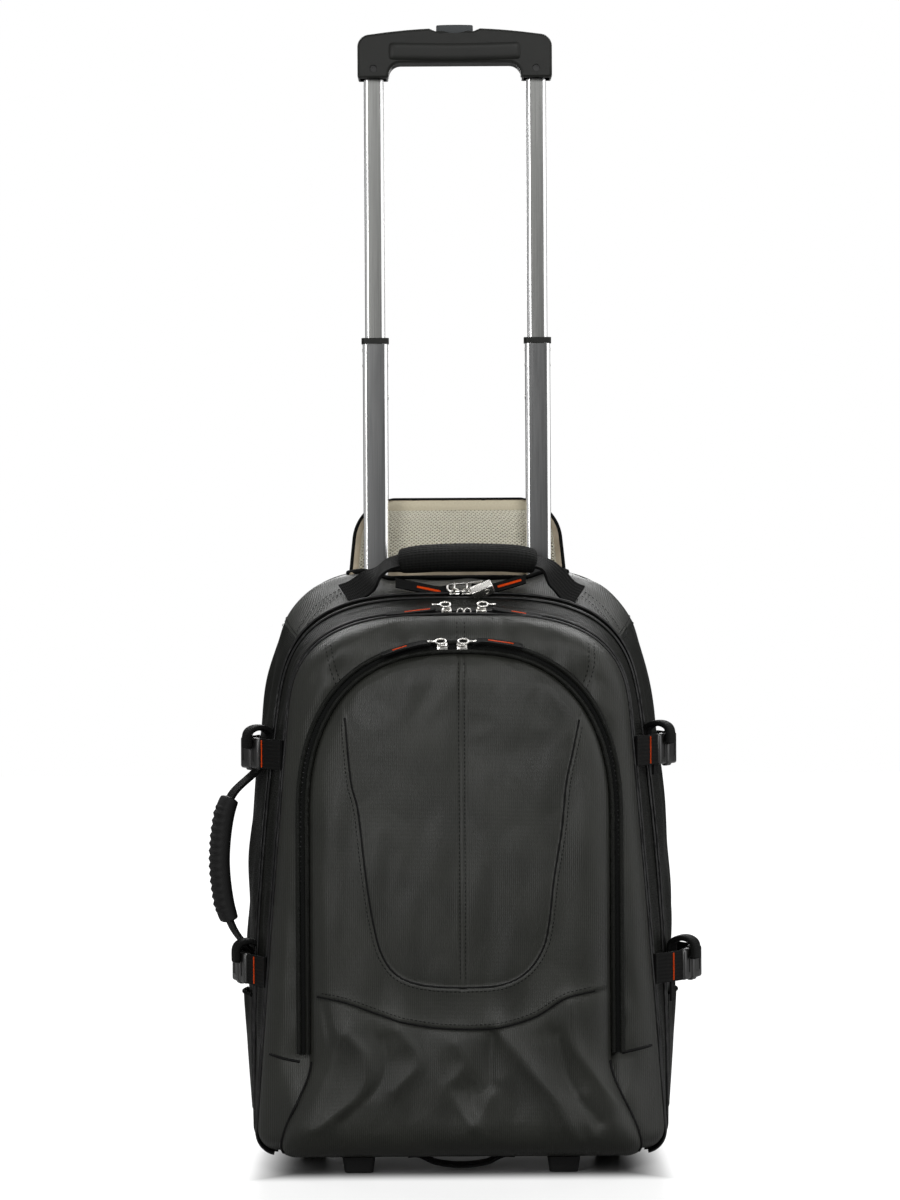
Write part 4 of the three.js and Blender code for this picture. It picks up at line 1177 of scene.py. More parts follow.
def seam_relief(x, z):
    """How far the seams step the panels in: the outer cloth's folded edge lies over the inner one."""
    shield = beside_line(x, z, shield_line)
    lower = beside_line(x, z, lower_line)
    step = 0.0014 * np.tanh(shield / 0.0012) * np.exp(-np.abs(shield) / 0.006)
    step = step - 0.0018 * np.tanh(lower / 0.0012) * np.exp(-np.abs(lower) / 0.006)
    step = step + 0.0011 * np.exp(-((distance_to(x, z, centre_line) - MIDDLE_ROW) / 0.0010) ** 2)
    return step * smooth((pocket_half(z) - np.abs(x)) / 0.008)


def pocket_shape(u, v):
    """The front pocket, closer woven towards its edge and its middle seam."""
    across = 0.25 * np.sin((u - 0.5) * math.pi) + 0.75 * (2 * u - 1)
    across = across * (1 - 0.5 * np.exp(-(across / 0.08) ** 2))
    up = 0.5 - 0.5 * np.cos(v * math.pi)
    z = POCKET_BASE + (POCKET_TOP - 0.0006 - POCKET_BASE) * (0.35 * up + 0.65 * v)
    x = across * pocket_half(z)
    return x, pocket_face(x, z), z


def pocket_seams(points):
    """Which points of the pocket lie on a seam."""
    x, z = points[:, 0], points[:, 2]
    near = np.minimum(distance_to(x, z, shield_line), distance_to(x, z, lower_line))
    return (near < 0.0018) | (distance_to(x, z, centre_line) < 0.0018)


def pocket_slack(points):
    """Each point's share of the pocket's spare cloth: most of it below the lower seam."""
    foot = smooth((-beside_line(points[:, 0], points[:, 2], lower_line) + 0.002) / 0.012)
    return 0.25 + 0.75 * foot


front_pocket = cloth_grid("front_pocket_cloth", 92, 130, pocket_shape, (0.27, 0.43))
flat_uv(front_pocket)
settle(front_pocket, pocket_seams, pocket_slack, POCKET_SPARE, 0.6, 0.010)
refine(front_pocket)
pocket_points = read_points(front_pocket.data)
pocket_points[:, 1] += seam_relief(pocket_points[:, 0], pocket_points[:, 2])
move_points(front_pocket.data, pocket_points)


def panel_row(line, shift, piece):
    """A stitch row beside a seam line of a front panel, a shift away from it."""
    along = unit(np.gradient(line, axis=0))
    x = line[:, 0] - shift * along[:, 1]
    z = line[:, 1] + shift * along[:, 0]
    return stitch_row("row", on_panel(piece, x, z, 0.0001), FORWARD)


pocket_rows = [panel_row(centre_line[1:-1], shift, front_pocket) for shift in (-MIDDLE_ROW, MIDDLE_ROW)]
pocket_rows.append(panel_row(shield_line[3:-3], -0.0034, front_pocket))
pocket_rows.append(panel_row(lower_line[3:-3], 0.0036, front_pocket))
fit(join("front_pocket_stitches", pocket_rows), thread, "cloth")
# Black cords in the shield and lower seams and down the pocket's foot stand for the dark lines of the seams'
# folds: painted shade.
pocket_seam_shade_cords = []
for line in (shield_line[2:-2], lower_line[2:-2]):
    path = on_panel(front_pocket, *resample(line, 220).T)
    path[:, 1] = np.convolve(np.pad(path[:, 1], 4, mode="edge"), np.full(9, 1 / 9), mode="valid")
    pocket_seam_shade_cords.append(round_cord("seam_shade_cord", path, SEAM_CORD))
foot_z = np.linspace(0.098, 0.020, 50)
for side in (1, -1):
    foot_x = side * (pocket_half(foot_z) - 0.0022)
    path = np.minimum(*[on_panel(panel, foot_x, foot_z) for panel in (front_pocket, organiser_front)])
    pocket_seam_shade_cords.append(round_cord("seam_shade_cord", path, FOOT_CORD))
fit(join("front_pocket_seam_shade_cords", pocket_seam_shade_cords), thread, "cloth")
give_wall(front_pocket, CLOTH)
fit(front_pocket, nylon, "cloth", "front_pocket", smooth_angle=70)

# Zip of the front pocket
# A coil zip sewn round the pocket's arch, on the organiser's panel. Its tape shows between two
# corded edges: the pocket's own piping inside and a rolled binding outside.
ZIP_FOOT = 0.104
POCKET_TAPE = (0.0095, 0.0007)
POCKET_TAPE_LIFT, POCKET_TAPE_WALL = 0.0021, 0.0012
POCKET_COIL = (0.0056, 0.0012)
POCKET_CORDS = ((0.0016, 0.0032, 0.0024), (0.0094, 0.0024, 0.0021))


def pocket_edge(count):
    """The pocket's seam from its right foot over the arch to its left, with outward directions."""
    z = np.linspace(ZIP_FOOT, POCKET_SPRING, 60)
    angle = np.linspace(0, math.pi / 2, 80)[1:]
    reach = (np.cos(angle) ** POCKET_ARCH + np.sin(angle) ** POCKET_ARCH) ** (-1 / POCKET_ARCH)
    arch_x = POCKET_HALF * reach * np.cos(angle)
    arch_z = POCKET_SPRING + (POCKET_TOP - POCKET_SPRING) * reach * np.sin(angle)
    right = np.vstack((np.column_stack((pocket_half(z), z)), np.column_stack((arch_x, arch_z))))
    line = resample(np.vstack((right, (right * [-1, 1])[-2::-1])), count)
    along = unit(np.gradient(line, axis=0))
    return line, np.column_stack((along[:, 1], -along[:, 0]))


edge_line, edge_out = pocket_edge(500)


def beside_pocket(share, away, lift):
    """A point on the organiser beside the pocket's seam, lifted off its panel."""
    at = np.linspace(0, 1, len(edge_line))
    edge_x, edge_z, out_x, out_z = (
        np.interp(share, at, values) for values in (*edge_line.T, *edge_out.T)
    )
    x, z = edge_x + away * out_x, edge_z + away * out_z
    return x, organiser_y(x, z) - lift, z


pocket_tape = cloth_grid(
    "pocket_zip_tape",
    320,
    8,
    lambda u, v: beside_pocket(u, POCKET_TAPE[0] + (POCKET_TAPE[1] - POCKET_TAPE[0]) * v, POCKET_TAPE_LIFT),
    (1.0, 0.009),
)
give_wall(pocket_tape, POCKET_TAPE_WALL)
fit(pocket_tape, zip_tape, "zip_tape", "pocket_zip")
zip_share = np.linspace(0, 1, 500)
pocket_middle = np.column_stack(beside_pocket(zip_share, *POCKET_COIL))
pocket_coil = coil("pocket_zip_coil", pocket_middle, np.tile(FORWARD, (500, 1)))
fit(pocket_coil, nylon_coil, "zip_tape")
cords = []
for away, lift, radius in POCKET_CORDS:
    cords.append(round_cord("cord", np.column_stack(beside_pocket(zip_share, away, lift)), radius))
fit(join("pocket_zip_piping", cords), black_nylon_and_painted_shade, "cloth")

# Side pockets
# A low pouch of the same nylon on each gusset, empty and flat, with its top gathered by elastic in
# a bound hem.
SIDES = (("right", 1), ("left", -1))
SIDE_POCKET_Y = (0.008, 0.068)
SIDE_POCKET_Z = (0.044, 0.144)
POUCH_WALL, HEM_CORD = 0.0015, 0.0016
# The pouches take the nearly black copy of the nylon: painted shade.
for word, side in SIDES:
    def pouch_shape(u, v, side=side):
        share = u if side > 0 else 1 - u
        y = SIDE_POCKET_Y[0] + (SIDE_POCKET_Y[1] - SIDE_POCKET_Y[0]) * share
        z = SIDE_POCKET_Z[0] + (SIDE_POCKET_Z[1] - SIDE_POCKET_Z[0]) * v
        gather = 0.0009 * np.sin(2 * math.pi * share * 9) * smooth((v - 0.55) / 0.45)
        off = 0.0022 + 0.0014 * np.sin(math.pi * share) * v + (gather + 0.0009) * np.sin(math.pi * share)
        return side * (half_width(y, z) + off), y, z
    pouch = cloth_grid(f"side_pocket_{word}_cloth", 60, 50, pouch_shape, (0.06, 0.1))
    hem_path = np.column_stack(pouch_shape(np.linspace(0, 1, 60), np.ones(60)))
    give_wall(pouch, POUCH_WALL)
    fit(pouch, black_nylon_and_painted_shade, "cloth", f"side_pocket_{word}")
    fit(round_cord(f"side_pocket_hem_{word}", hem_path, HEM_CORD), zip_tape, "zip_tape")

# Handle pocket
# A tub of thin beige lining sewn into the mouth of the top gusset, where the handle goes down. A
# black zip tape runs round the mouth, for the cover.
TUB = ((-0.0974, 0.0974), (0.0574, 0.0916), (0.4340, 0.5170))
TUB_CORNER = 0.006
TUB_WALL = 0.0012
MOUTH_CORD = 0.0024

# Uncoated nylon taffeta: warm beige, thin and crinkled, with a dry satin shine. Its creases are painted
# darker in their hollows and paler on their ridges, as painted shade and highlight.
LINING_CREASE = 0.016
beige_lining, tree, shader = new_material("crinkled_beige_taffeta", "#b5a68d", 0.6)
lining_place = add_node(tree, "ShaderNodeTexCoord").outputs["Object"]
lining_crease = add_node(
    tree,
    "ShaderNodeTexNoise",
    {"Vector": lining_place, "Scale": 1 / LINING_CREASE, "Detail": 5.0, "Roughness": 0.6},
)
# The crease tones are painted shade in the hollows and painted highlight on the ridges.
relief(tree, shader, lining_crease.outputs["Fac"], ("#94866f", "#cabda6"), 0.6, 0.003)


def bevel_edges(piece, wanted, width, segments):
    """Rounds only the edges whose two ends a test wants."""
    take(piece)
    bpy.ops.object.mode_set(mode="EDIT")
    bpy.ops.mesh.select_mode(type="EDGE")
    bpy.ops.mesh.select_all(action="DESELECT")
    bpy.ops.object.mode_set(mode="OBJECT")
    for edge in piece.data.edges:
        edge.select = bool(wanted(*[piece.data.vertices[i].co for i in edge.vertices]))
    bpy.ops.object.mode_set(mode="EDIT")
    bpy.ops.mesh.bevel(offset=width, segments=segments)
    bpy.ops.object.mode_set(mode="OBJECT")


lining_tub = block(
    "handle_pocket_tub",
    [high - low for low, high in TUB],
    [(low + high) / 2 for low, high in TUB],
)
bevel_edges(lining_tub, lambda a, b: abs(a.z - b.z) > 0.01, TUB_CORNER, 4)
drop_faces(lining_tub, lambda face: abs(face.normal.z) > 0.9)
bpy.ops.object.mode_set(mode="EDIT")
bpy.ops.mesh.select_all(action="SELECT")
bpy.ops.mesh.subdivide(number_cuts=9)
bpy.ops.object.mode_set(mode="OBJECT")
for vertex in lining_tub.data.vertices:
    x, y, z = vertex.co
    slack = 0.0022 * float(ripple(np.array(x + 2 * y), np.array(z), 0.034))
    vertex.co.y = y + (slack if abs(x) < TUB[0][1] - TUB_CORNER else 0.0) * smooth((TUB[2][1] - z) / 0.02)
    if y < MOUTH[1] + MOUTH_HEM:
        vertex.co.z = z - float(mouth_sag(x, MOUTH[1])) * smooth((z - 0.48) / (TUB[2][1] - 0.48))
give_wall(lining_tub, TUB_WALL)
fit(lining_tub, beige_lining, "lining", "handle_pocket_lining")

mouth_points = [(MOUTH[0], REAR), (MOUTH[0], MOUTH[1] + 0.008), (MOUTH[0] - 0.008, MOUTH[1])]
mouth_line = resample(np.array(mouth_points + [(-x, y) for x, y in mouth_points[::-1]]), 200)
mouth_top = top_at(*mouth_line.T) - mouth_sag(*mouth_line.T)
mouth_path = np.column_stack((mouth_line, mouth_top + 0.0012))
fit(round_cord("handle_pocket_binding", mouth_path, MOUTH_CORD), zip_tape, "zip_tape")

# Cover flap
# The handle pocket's cover stands open behind the tubes: ribbed nylon outside, beige lining inside
# and, on the lining, a net pocket hemmed with beige tape. Half a zip runs round its edge.
FLAP_HALF, FLAP_BOTTOM, FLAP_HEIGHT, FLAP_CORNER = 0.096, 0.5189, 0.064, 0.034
FLAP_LEAN, FLAP_CURL = 0.009, 0.006
FLAP_FOOT_Y = 0.093
FLAP_WALL, LINING_WALL, HEM_WALL = 0.0014, 0.0012, 0.0008
FLAP_CORD = 0.0017
NET_ROWS = (0.03, 0.86)


def flap_point(u, v, layer, shrink):
    """A point of the flap's layer: u runs from -1 to 1 across, v from 0 to 1 up."""
    z = FLAP_BOTTOM + FLAP_HEIGHT * v
    low = np.clip(FLAP_CORNER - (FLAP_BOTTOM + FLAP_HEIGHT - z), 0, FLAP_CORNER)
    narrowed = FLAP_CORNER - np.sqrt(FLAP_CORNER ** 2 - low ** 2)
    x = u * (FLAP_HALF - shrink - 0.007 * v - narrowed)
    y = FLAP_FOOT_Y + layer + FLAP_LEAN * v - FLAP_CURL * np.abs(x / FLAP_HALF) ** 3
    gap = np.maximum(FLAP_BOTTOM - top_at(x, REAR) - 0.0005, 0)
    return x, y, z - gap * (1 - v) ** 3


def flap_outer(u, v):
    """The flap's outer cloth, facing the bag's rear."""
    x, y, z = flap_point(1 - 2 * u, v, 0.0040, 0.0)
    return x, y + 0.0005 * ripple(x, z, 0.04), z


def flap_inner(u, v):
    """The flap's crinkled lining."""
    x, y, z = flap_point(2 * u - 1, 0.99 * v, 0.0020, 0.001)
    return x, y + 0.0005 * ripple(1.4 * x, z, 0.022) * smooth(5 * np.minimum(u, 1 - u)), z


cover_flap = cloth_grid("cover_flap_cloth", 80, 40, flap_outer, (0.19, 0.064))
give_wall(cover_flap, FLAP_WALL)
fit(cover_flap, nylon, "cloth", "cover_flap")
flap_lining = cloth_grid("flap_lining_cloth", 90, 40, flap_inner, (0.19, 0.064))
give_wall(flap_lining, LINING_WALL)
fit(flap_lining, beige_lining, "lining", "flap_lining")

rim_u = np.concatenate((np.full(30, 1.0), np.linspace(1, -1, 120)[1:-1], np.full(30, -1.0)))
rim_v = np.concatenate((np.linspace(0, 0.999, 30), np.full(118, 0.999), np.linspace(0.999, 0, 30)))
rim_path = resample(np.column_stack(flap_point(rim_u, rim_v, 0.0036, -0.0006)), 240)
fit(round_cord("flap_zip_binding", rim_path, FLAP_CORD), zip_tape, "zip_tape")

# Knitted polyester net and its hem of folded tape: pale strands and a warmer beige band, both matt
# and slightly mottled.
beige_net, beige_tape = (
    mottled(name, tones[0], 0.65, 700.0, tones=tones)
    for name, tones in (
        ("knitted_beige_net", ("#e6e2d0", "#fbf8ec")),
        ("folded_beige_tape", ("#c6bb9f", "#dcd3ba")),
    )
)

flap_net = cloth_grid(
    "flap_net",
    84,
    36,
    lambda u, v: flap_point(2 * u - 1, NET_ROWS[0] + (NET_ROWS[1] - NET_ROWS[0]) * v, 0.0002, 0.006),
    (0.17, 0.053),
)
diamonds = flap_net.modifiers.new("diamonds", "DECIMATE")
diamonds.decimate_type = "UNSUBDIV"
diamonds.iterations = 1
strands = flap_net.modifiers.new("strands", "WIREFRAME")
strands.thickness = 0.0019
strands.use_even_offset = False
apply_modifiers(flap_net)
fit(flap_net, beige_net, "lining", "flap_mesh")


def hem_shape(u, v):
    """The folded tape along the net's upper edge."""
    return flap_point(0.985 * (2 * u - 1), 0.845 + 0.135 * v, -0.0006 - 0.0007 * np.sin(math.pi * v), 0.006)


net_hem = cloth_grid("flap_net_hem", 80, 8, hem_shape, (0.17, 0.009))
give_wall(net_hem, HEM_WALL)
fit(net_hem, beige_tape, "lining")

# Top carry handle
# A strap of black webbing folded from each end of the top, sewn down with boxed ends, through a
# foam sleeve covered with black air mesh.
TOP_ACROSS = unit(np.array([0.0, 0.90, 0.43]))
END_ACROSS = np.array([0.45, 0.62, 0.64])
STRAP_WIDTH, STRAP_THICKNESS = 0.025, 0.0024
PAD_RUN = (-0.0545, 0.0715)
PAD_HALF = (0.016, 0.0105)


def on_top(x, y, lift):
    """A point a little above the bag's top."""
    return (x, y, float(top_at(x, y)) + lift)


HANDLE_POINTS = (
    on_top(-0.100, 0.014, 0.0038), on_top(-0.090, 0.015, 0.0042), (-0.074, 0.018, 0.512),
    (-0.054, 0.020, 0.5255), (0.008, 0.021, 0.5295), (0.068, 0.020, 0.5255), (0.087, 0.018, 0.511),
    on_top(0.098, 0.015, 0.0044), on_top(0.107, 0.014, 0.0039),
)


def along_path(path, share):
    """Points at shares of a path."""
    at = np.linspace(0, 1, len(path))
    return np.column_stack([np.interp(share, at, path[:, i]) for i in range(3)])


def strap(name, path, across, width, thickness, columns=10):
    """A band of webbing along a path, with UVs in metres; across may turn on the way."""
    across = np.broadcast_to(unit(np.asarray(across, dtype=float)), path.shape)
    rows = max(int(path_length(path) / 0.0025), 8)

    def shape(u, v):
        points = along_path(path, v) + ((u - 0.5) * width)[:, None] * along_path(across, v)
        return points.T

    piece = cloth_grid(name, columns, rows, shape, (width, path_length(path)))
    give_wall(piece, thickness, 0.0)
    return piece


def sleeve(name, path, across, half_wide, half_thick, sides=40, rows=80, squareness=2.0):
    """A closed sleeve round a path, with half sizes given along it, drawn in to a point at its ends."""
    across = unit(np.asarray(across, dtype=float))
    forward = unit(np.gradient(path, axis=0))

    def shape(u, v):
        angle = 2 * math.pi * u
        centre = along_path(path, v)
        side = unit(np.cross(along_path(forward, v), across))
        c, s = np.cos(angle), np.sin(angle)
        reach = (np.abs(c) ** squareness + np.abs(s) ** squareness) ** (-1 / squareness)
        wide = (reach * c * half_wide(v))[:, None] * across
        return (centre + wide + (reach * s * half_thick(v, s))[:, None] * side).T

    piece = cloth_grid(name, sides, rows, shape, (0.09, path_length(path)))
    bpy.ops.object.mode_set(mode="EDIT")
    bpy.ops.mesh.select_all(action="SELECT")
    bpy.ops.mesh.remove_doubles(threshold=0.00003)
    bpy.ops.mesh.normals_make_consistent(inside=False)
    bpy.ops.object.mode_set(mode="OBJECT")
    return piece


# Woven polyester webbing: black, with a fine chevron. Its real pitch of about 1 mm is drawn at
# 1.6 mm so that it shows, and its crossing yarns give a dull, broken shine.
WEBBING_PITCH = 0.0016
webbing, tree, shader = new_material("black_woven_webbing", "#1b1c1a", 0.62)
webbing_uv = add_node(tree, "ShaderNodeUVMap").outputs["UV"]
webbing_pick = add_node(
    tree,
    "ShaderNodeTexWave",
    {"Vector": webbing_uv, "Scale": WAVE_TURN / WEBBING_PITCH, "Distortion": 1.2, "Detail": 1.0},
    bands_direction="Y",
)
webbing_warp = add_node(
    tree,
    "ShaderNodeTexWave",
    {"Vector": webbing_uv, "Scale": WAVE_TURN / (2 * WEBBING_PITCH)},
    bands_direction="X",
)
webbing_yarn = add_node(
    tree,
    "ShaderNodeMath",
    {0: webbing_pick.outputs["Fac"], 1: webbing_warp.outputs["Fac"]},
    operation="MULTIPLY",
)
relief(tree, shader, webbing_yarn.outputs["Value"], ("#050505", "#111210"), 0.5, 0.0005, 0.12)

# Knitted spacer fabric: black, with open cells about 3 mm apart that look like dark pits. Their middles are
# painted near black as the shade inside the cells.
AIR_CELL = 0.0032
air_mesh, tree, shader = new_material("black_air_mesh", "#171816", 0.75)
air_uv = add_node(tree, "ShaderNodeUVMap").outputs["UV"]
air_cells = add_node(
    tree, "ShaderNodeTexVoronoi", {"Vector": air_uv, "Scale": 1 / AIR_CELL, "Randomness": 0.15}
)
# The near black cell middles are painted shade in the open cells.
relief(tree, shader, air_cells.outputs["Distance"], ("#020202", "#151614"), 0.8, 0.0012, 0.15)

handle_path = spline(HANDLE_POINTS, 160)
end_share = smooth((np.abs(handle_path[:, 0] - 0.003) - 0.070) / 0.015)[:, None]
end_across = np.column_stack((np.sign(handle_path[:, 0]), np.ones(160), np.ones(160))) * END_ACROSS
handle_across = TOP_ACROSS + (end_across - TOP_ACROSS) * end_share
handle_strap = strap("top_handle_webbing", handle_path, handle_across, STRAP_WIDTH, STRAP_THICKNESS)
fit(handle_strap, webbing, "webbing", "top_handle_strap")
on_pad = (handle_path[:, 0] > PAD_RUN[0]) & (handle_path[:, 0] < PAD_RUN[1])
pad_path = resample(handle_path[on_pad], 120)


def tapered(v, share):
    """1 along most of a sleeve, falling on a quarter circle to 0 over a share at both its ends."""
    return rounded(np.minimum(v, 1 - v), share)


def pad_size(v):
    """The pad's fullness along it: full in the middle, flattened at its sewn ends."""
    return (0.72 + 0.28 * tapered(v, 0.2)) * tapered(v, 0.03)


handle_pad = sleeve(
    "top_handle_sleeve",
    pad_path,
    TOP_ACROSS,
    lambda v: PAD_HALF[0] * pad_size(v),
    lambda v, s: PAD_HALF[1] * pad_size(v),
    rows=110,
    squareness=2.4,
)
fit(handle_pad, air_mesh, "cloth", "top_handle_pad", smooth_angle=60)

# Side handle
# A loop of webbing on the left gusset, through a sleeve of black rubber moulded with a row of
# finger teeth down its outer side.
SIDE_ACROSS = unit(np.array([-0.3, 0.954, 0.0]))
SIDE_Y = 0.020
SLEEVE_RUN = (0.208, 0.319)
TEETH = 17


def on_left(z, off):
    """A point a little outside the left gusset, in the side handle's plane."""
    return (-float(half_width(SIDE_Y, z)) - off, SIDE_Y, z)


SIDE_POINTS = (
    on_left(0.347, 0.0021), on_left(0.339, 0.009), (-0.2005, SIDE_Y, 0.321), (-0.2085, SIDE_Y, 0.299),
    (-0.212, SIDE_Y, 0.262), (-0.2085, SIDE_Y, 0.226), (-0.2015, SIDE_Y, 0.204), on_left(0.190, 0.009),
    on_left(0.182, 0.0021),
)

# Moulded synthetic rubber: dense black, matt, with a fine spark-eroded grain of about 0.5 mm.
RUBBER_GRAIN = 0.0005
rubber = mottled(
    "moulded_black_rubber",
    "#151515",
    0.7,
    45.0,
    tones=("#060606", "#0f0f0f"),
    grain=(RUBBER_GRAIN, 0.3),
    shine=0.35,
)

side_path = spline(SIDE_POINTS, 160)
side_strap = strap("side_handle_webbing", side_path, SIDE_ACROSS, 0.024, 0.0024)
fit(side_strap, webbing, "webbing", "side_handle_strap")
on_grip = (side_path[:, 2] > SLEEVE_RUN[0]) & (side_path[:, 2] < SLEEVE_RUN[1])
grip_path = resample(side_path[on_grip], 200)


def grip_thickness(v, s):
    """Half the sleeve's thickness: toothed on its outer side, plain against the bag."""
    end = np.minimum(v, 1 - v)
    body = (0.0062 + 0.0016 * tapered(v, 0.1)) * tapered(v, 0.02)
    ridge = 1 - 2 * np.abs(TEETH * v % 1.0 - 0.5)
    return body + 0.0017 * ridge * smooth((end - 0.08) / 0.03) * (s < -0.15)


side_grip = sleeve(
    "side_handle_sleeve",
    grip_path,
    SIDE_ACROSS,
    lambda v: 0.0145 * tapered(v, 0.02),
    grip_thickness,
    sides=36,
    rows=240,
    squareness=2.6,
)
fit(side_grip, rubber, "rubber", "side_handle_grip", smooth_angle=50)

# Grab handle
# A slack loop of webbing sewn under the base, to lift the bag's foot into a rack.
GRAB_POINTS = (
    (-0.046, -0.056, 0.0124), (-0.036, -0.056, 0.0122), (-0.022, -0.056, 0.006), (0.0, -0.056, 0.0034),
    (0.022, -0.056, 0.006), (0.036, -0.056, 0.0122), (0.046, -0.056, 0.0124),
)
GRAB_WEBBING = (0.025, 0.002)
grab_handle = strap("grab_handle_webbing", spline(GRAB_POINTS, 80), (0.0, 1.0, 0.0), *GRAB_WEBBING)
fit(grab_handle, webbing, "webbing", "bottom_grab_handle")

# Compression straps
# Four straps across the gussets: webbing sewn into the organiser's seam, a side-release buckle, and
# webbing from the rear seam. The front webbing is folded back and closed by an orange bartack.
STRAPS = {
    "upper_right": (1, 0.360, 0.012, 0.016, 0.166, (0.1745, 0.009)),
    "lower_right": (1, 0.171, 0.018, 0.026, 0.1855, (0.1865, 0.017)),
    "upper_left": (-1, 0.358, 0.012, 0.016, 0.173, None),
    "lower_left": (-1, 0.170, 0.010, 0.013, 0.179, None),
}
SIDE_WEBBING = (0.026, 0.002)
BUCKLE_FRONT, BUCKLE_REAR = -0.018, 0.026
BUCKLE_REACH = 0.0228
KEEPER = (
    (-0.0150, -0.003), (-0.0145, 0.006), (-0.0070, 0.0105),
    (0.0010, 0.0100), (0.0062, 0.005), (0.0066, -0.008),
)

# Twisted polyester thread in a satin bar: bright orange, slightly silky.
orange_thread = mottled(
    "orange_polyester_thread", "#e8480c", 0.45, 260.0, tones=("#c93a06", "#ff5a12"), shine=0.1
)

# Acetal, injection moulded in a polished tool: black, with a satin gloss and soft moulding waves.
buckle_plastic = mottled("polished_black_acetal", "#1c1c1b", 0.3, 180.0, gloss=(0.24, 0.40), shine=1.0)


def sink_face(piece, normal, border, depth):
    """Insets the largest face that looks one way and pushes it back, as a moulded recess."""
    largest = max(piece.data.polygons, key=lambda f: f.area * (np.dot(f.normal, normal) > 0.99)).index
    pick_faces(piece, lambda face: face.index == largest)
    bpy.ops.mesh.inset(thickness=border)
    bpy.ops.mesh.extrude_region_move(
        TRANSFORM_OT_translate={"value": [-depth * part for part in normal]}
    )
    bpy.ops.object.mode_set(mode="OBJECT")


socket_half = rounded_box("socket_half", (0.025, 0.0276, 0.009), (0.0095, 0.0, 0.0), 0.0022)
sink_face(socket_half, (0, 0, 1), 0.0045, 0.0005)
plug_half = rounded_box("plug_half", (0.0185, 0.0268, 0.007), (-0.01275, 0.0, 0.0), 0.002)
sink_face(plug_half, (0, 0, 1), 0.004, 0.0006)
prongs = [
    rounded_box("prong", (0.013, 0.0045, 0.0055), (0.0055, side * 0.0132, 0.0), 0.0016)
    for side in (1, -1)
]
buckle_model = join("buckle_model", [socket_half, plug_half] + prongs)


def placed(name, model, place, axes):
    """A copy of a model with its own mesh, turned so that its x, y and z lie along the axes."""
    mesh = model.data.copy()
    move_points(mesh, read_points(mesh) @ np.asarray(axes, dtype=float) + np.asarray(place, dtype=float))
    return new_object(name, mesh)


def bartack(name, centre, along, out, length):
    """A dense satin bar of thread: stitches laid across it, side by side."""
    along, out = unit(np.asarray(along, dtype=float)), np.asarray(out, dtype=float)
    count = int(length / 0.00065)
    places = np.asarray(centre) + np.linspace(-length / 2, length / 2, count)[:, None] * along
    across = np.broadcast_to(np.cross(out, along), places.shape)
    return repeat(name, stitch, places, across, np.broadcast_to(out, places.shape))


UP = np.array([0.0, 0.0, 1.0])
for name, (side, z, front, rear, tack_x, tail_run) in STRAPS.items():
    def beside(y, off, side=side, z=z):
        wide = max(float(half_width(y, z - 0.013)), float(half_width(y, z + 0.013)))
        return np.array([side * (wide + off), y, z])
    front_end, rear_end = beside(BUCKLE_FRONT, front), beside(BUCKLE_REAR, rear)
    axis = unit(rear_end - front_end)
    middle = (front_end + rear_end) / 2
    outward = unit(np.cross(axis, UP))
    front_points = [
        beside(-0.052, 0.0018), beside(-0.046, 0.0026), beside(-0.034, 0.55 * front),
        middle - BUCKLE_REACH * axis,
    ]
    rear_points = [
        middle + BUCKLE_REACH * axis, beside(0.050, 0.6 * rear), beside(0.072, 0.0028),
        beside(0.084, 0.0018),
    ]
    front_path = spline(front_points, 40)
    front_webbing = strap(f"front_webbing_{name}", front_path, UP, *SIDE_WEBBING)
    fit(front_webbing, webbing, "webbing", f"strap_front_{name}")
    rear_webbing = strap(f"rear_webbing_{name}", spline(rear_points, 50), UP, *SIDE_WEBBING)
    fit(rear_webbing, webbing, "webbing", f"strap_rear_{name}")
    facing = outward if outward[0] * side > 0 else -outward
    buckle_axes = (axis, np.cross(facing, axis), facing)
    buckle = placed(f"side_release_buckle_{name}", buckle_model, middle, buckle_axes)
    fit(buckle, buckle_plastic, "buckle_plastic", f"buckle_{name}", smooth_angle=35)
    near = int(np.argmin(np.abs(np.abs(front_path[:, 0]) - tack_x)))
    near = min(max(near, 6), 36)
    forward = unit(front_path[near + 1] - front_path[near - 1])
    tack_out = unit(np.cross(forward, UP))
    tack_out = tack_out if tack_out[0] * side > 0 else -tack_out
    tack = bartack(f"bartack_{name}", front_path[near] + 0.0012 * tack_out, UP, tack_out, 0.023)
    fit(tack, orange_thread, "webbing")
    loop_foot = middle - 0.004 * axis + 0.0115 * UP
    keeper_points = [loop_foot + out * facing + up * UP for out, up in KEEPER]
    keeper = sleeve(
        f"strap_keeper_{name}",
        spline(keeper_points, 60),
        axis,
        lambda v: 0.0095 * tapered(v, 0.03),
        lambda v, s: 0.0027 * tapered(v, 0.03),
        sides=28,
        rows=50,
        squareness=4.0,
    )
    fit(keeper, webbing, "webbing", smooth_angle=50)
    if tail_run:
        tail_x, tail_drop = tail_run
        tail_top = front_path[int(np.argmin(np.abs(front_path[:, 0] - tail_x)))] - 0.0016 * facing
        tail_points = [tail_top - fall * UP for fall in (0.0, 0.008, 0.013 + tail_drop)]
        tail = strap(f"strap_tail_{name}", spline(tail_points, 30), axis, 0.011, 0.0018, 6)
        fit(tail, webbing, "webbing")

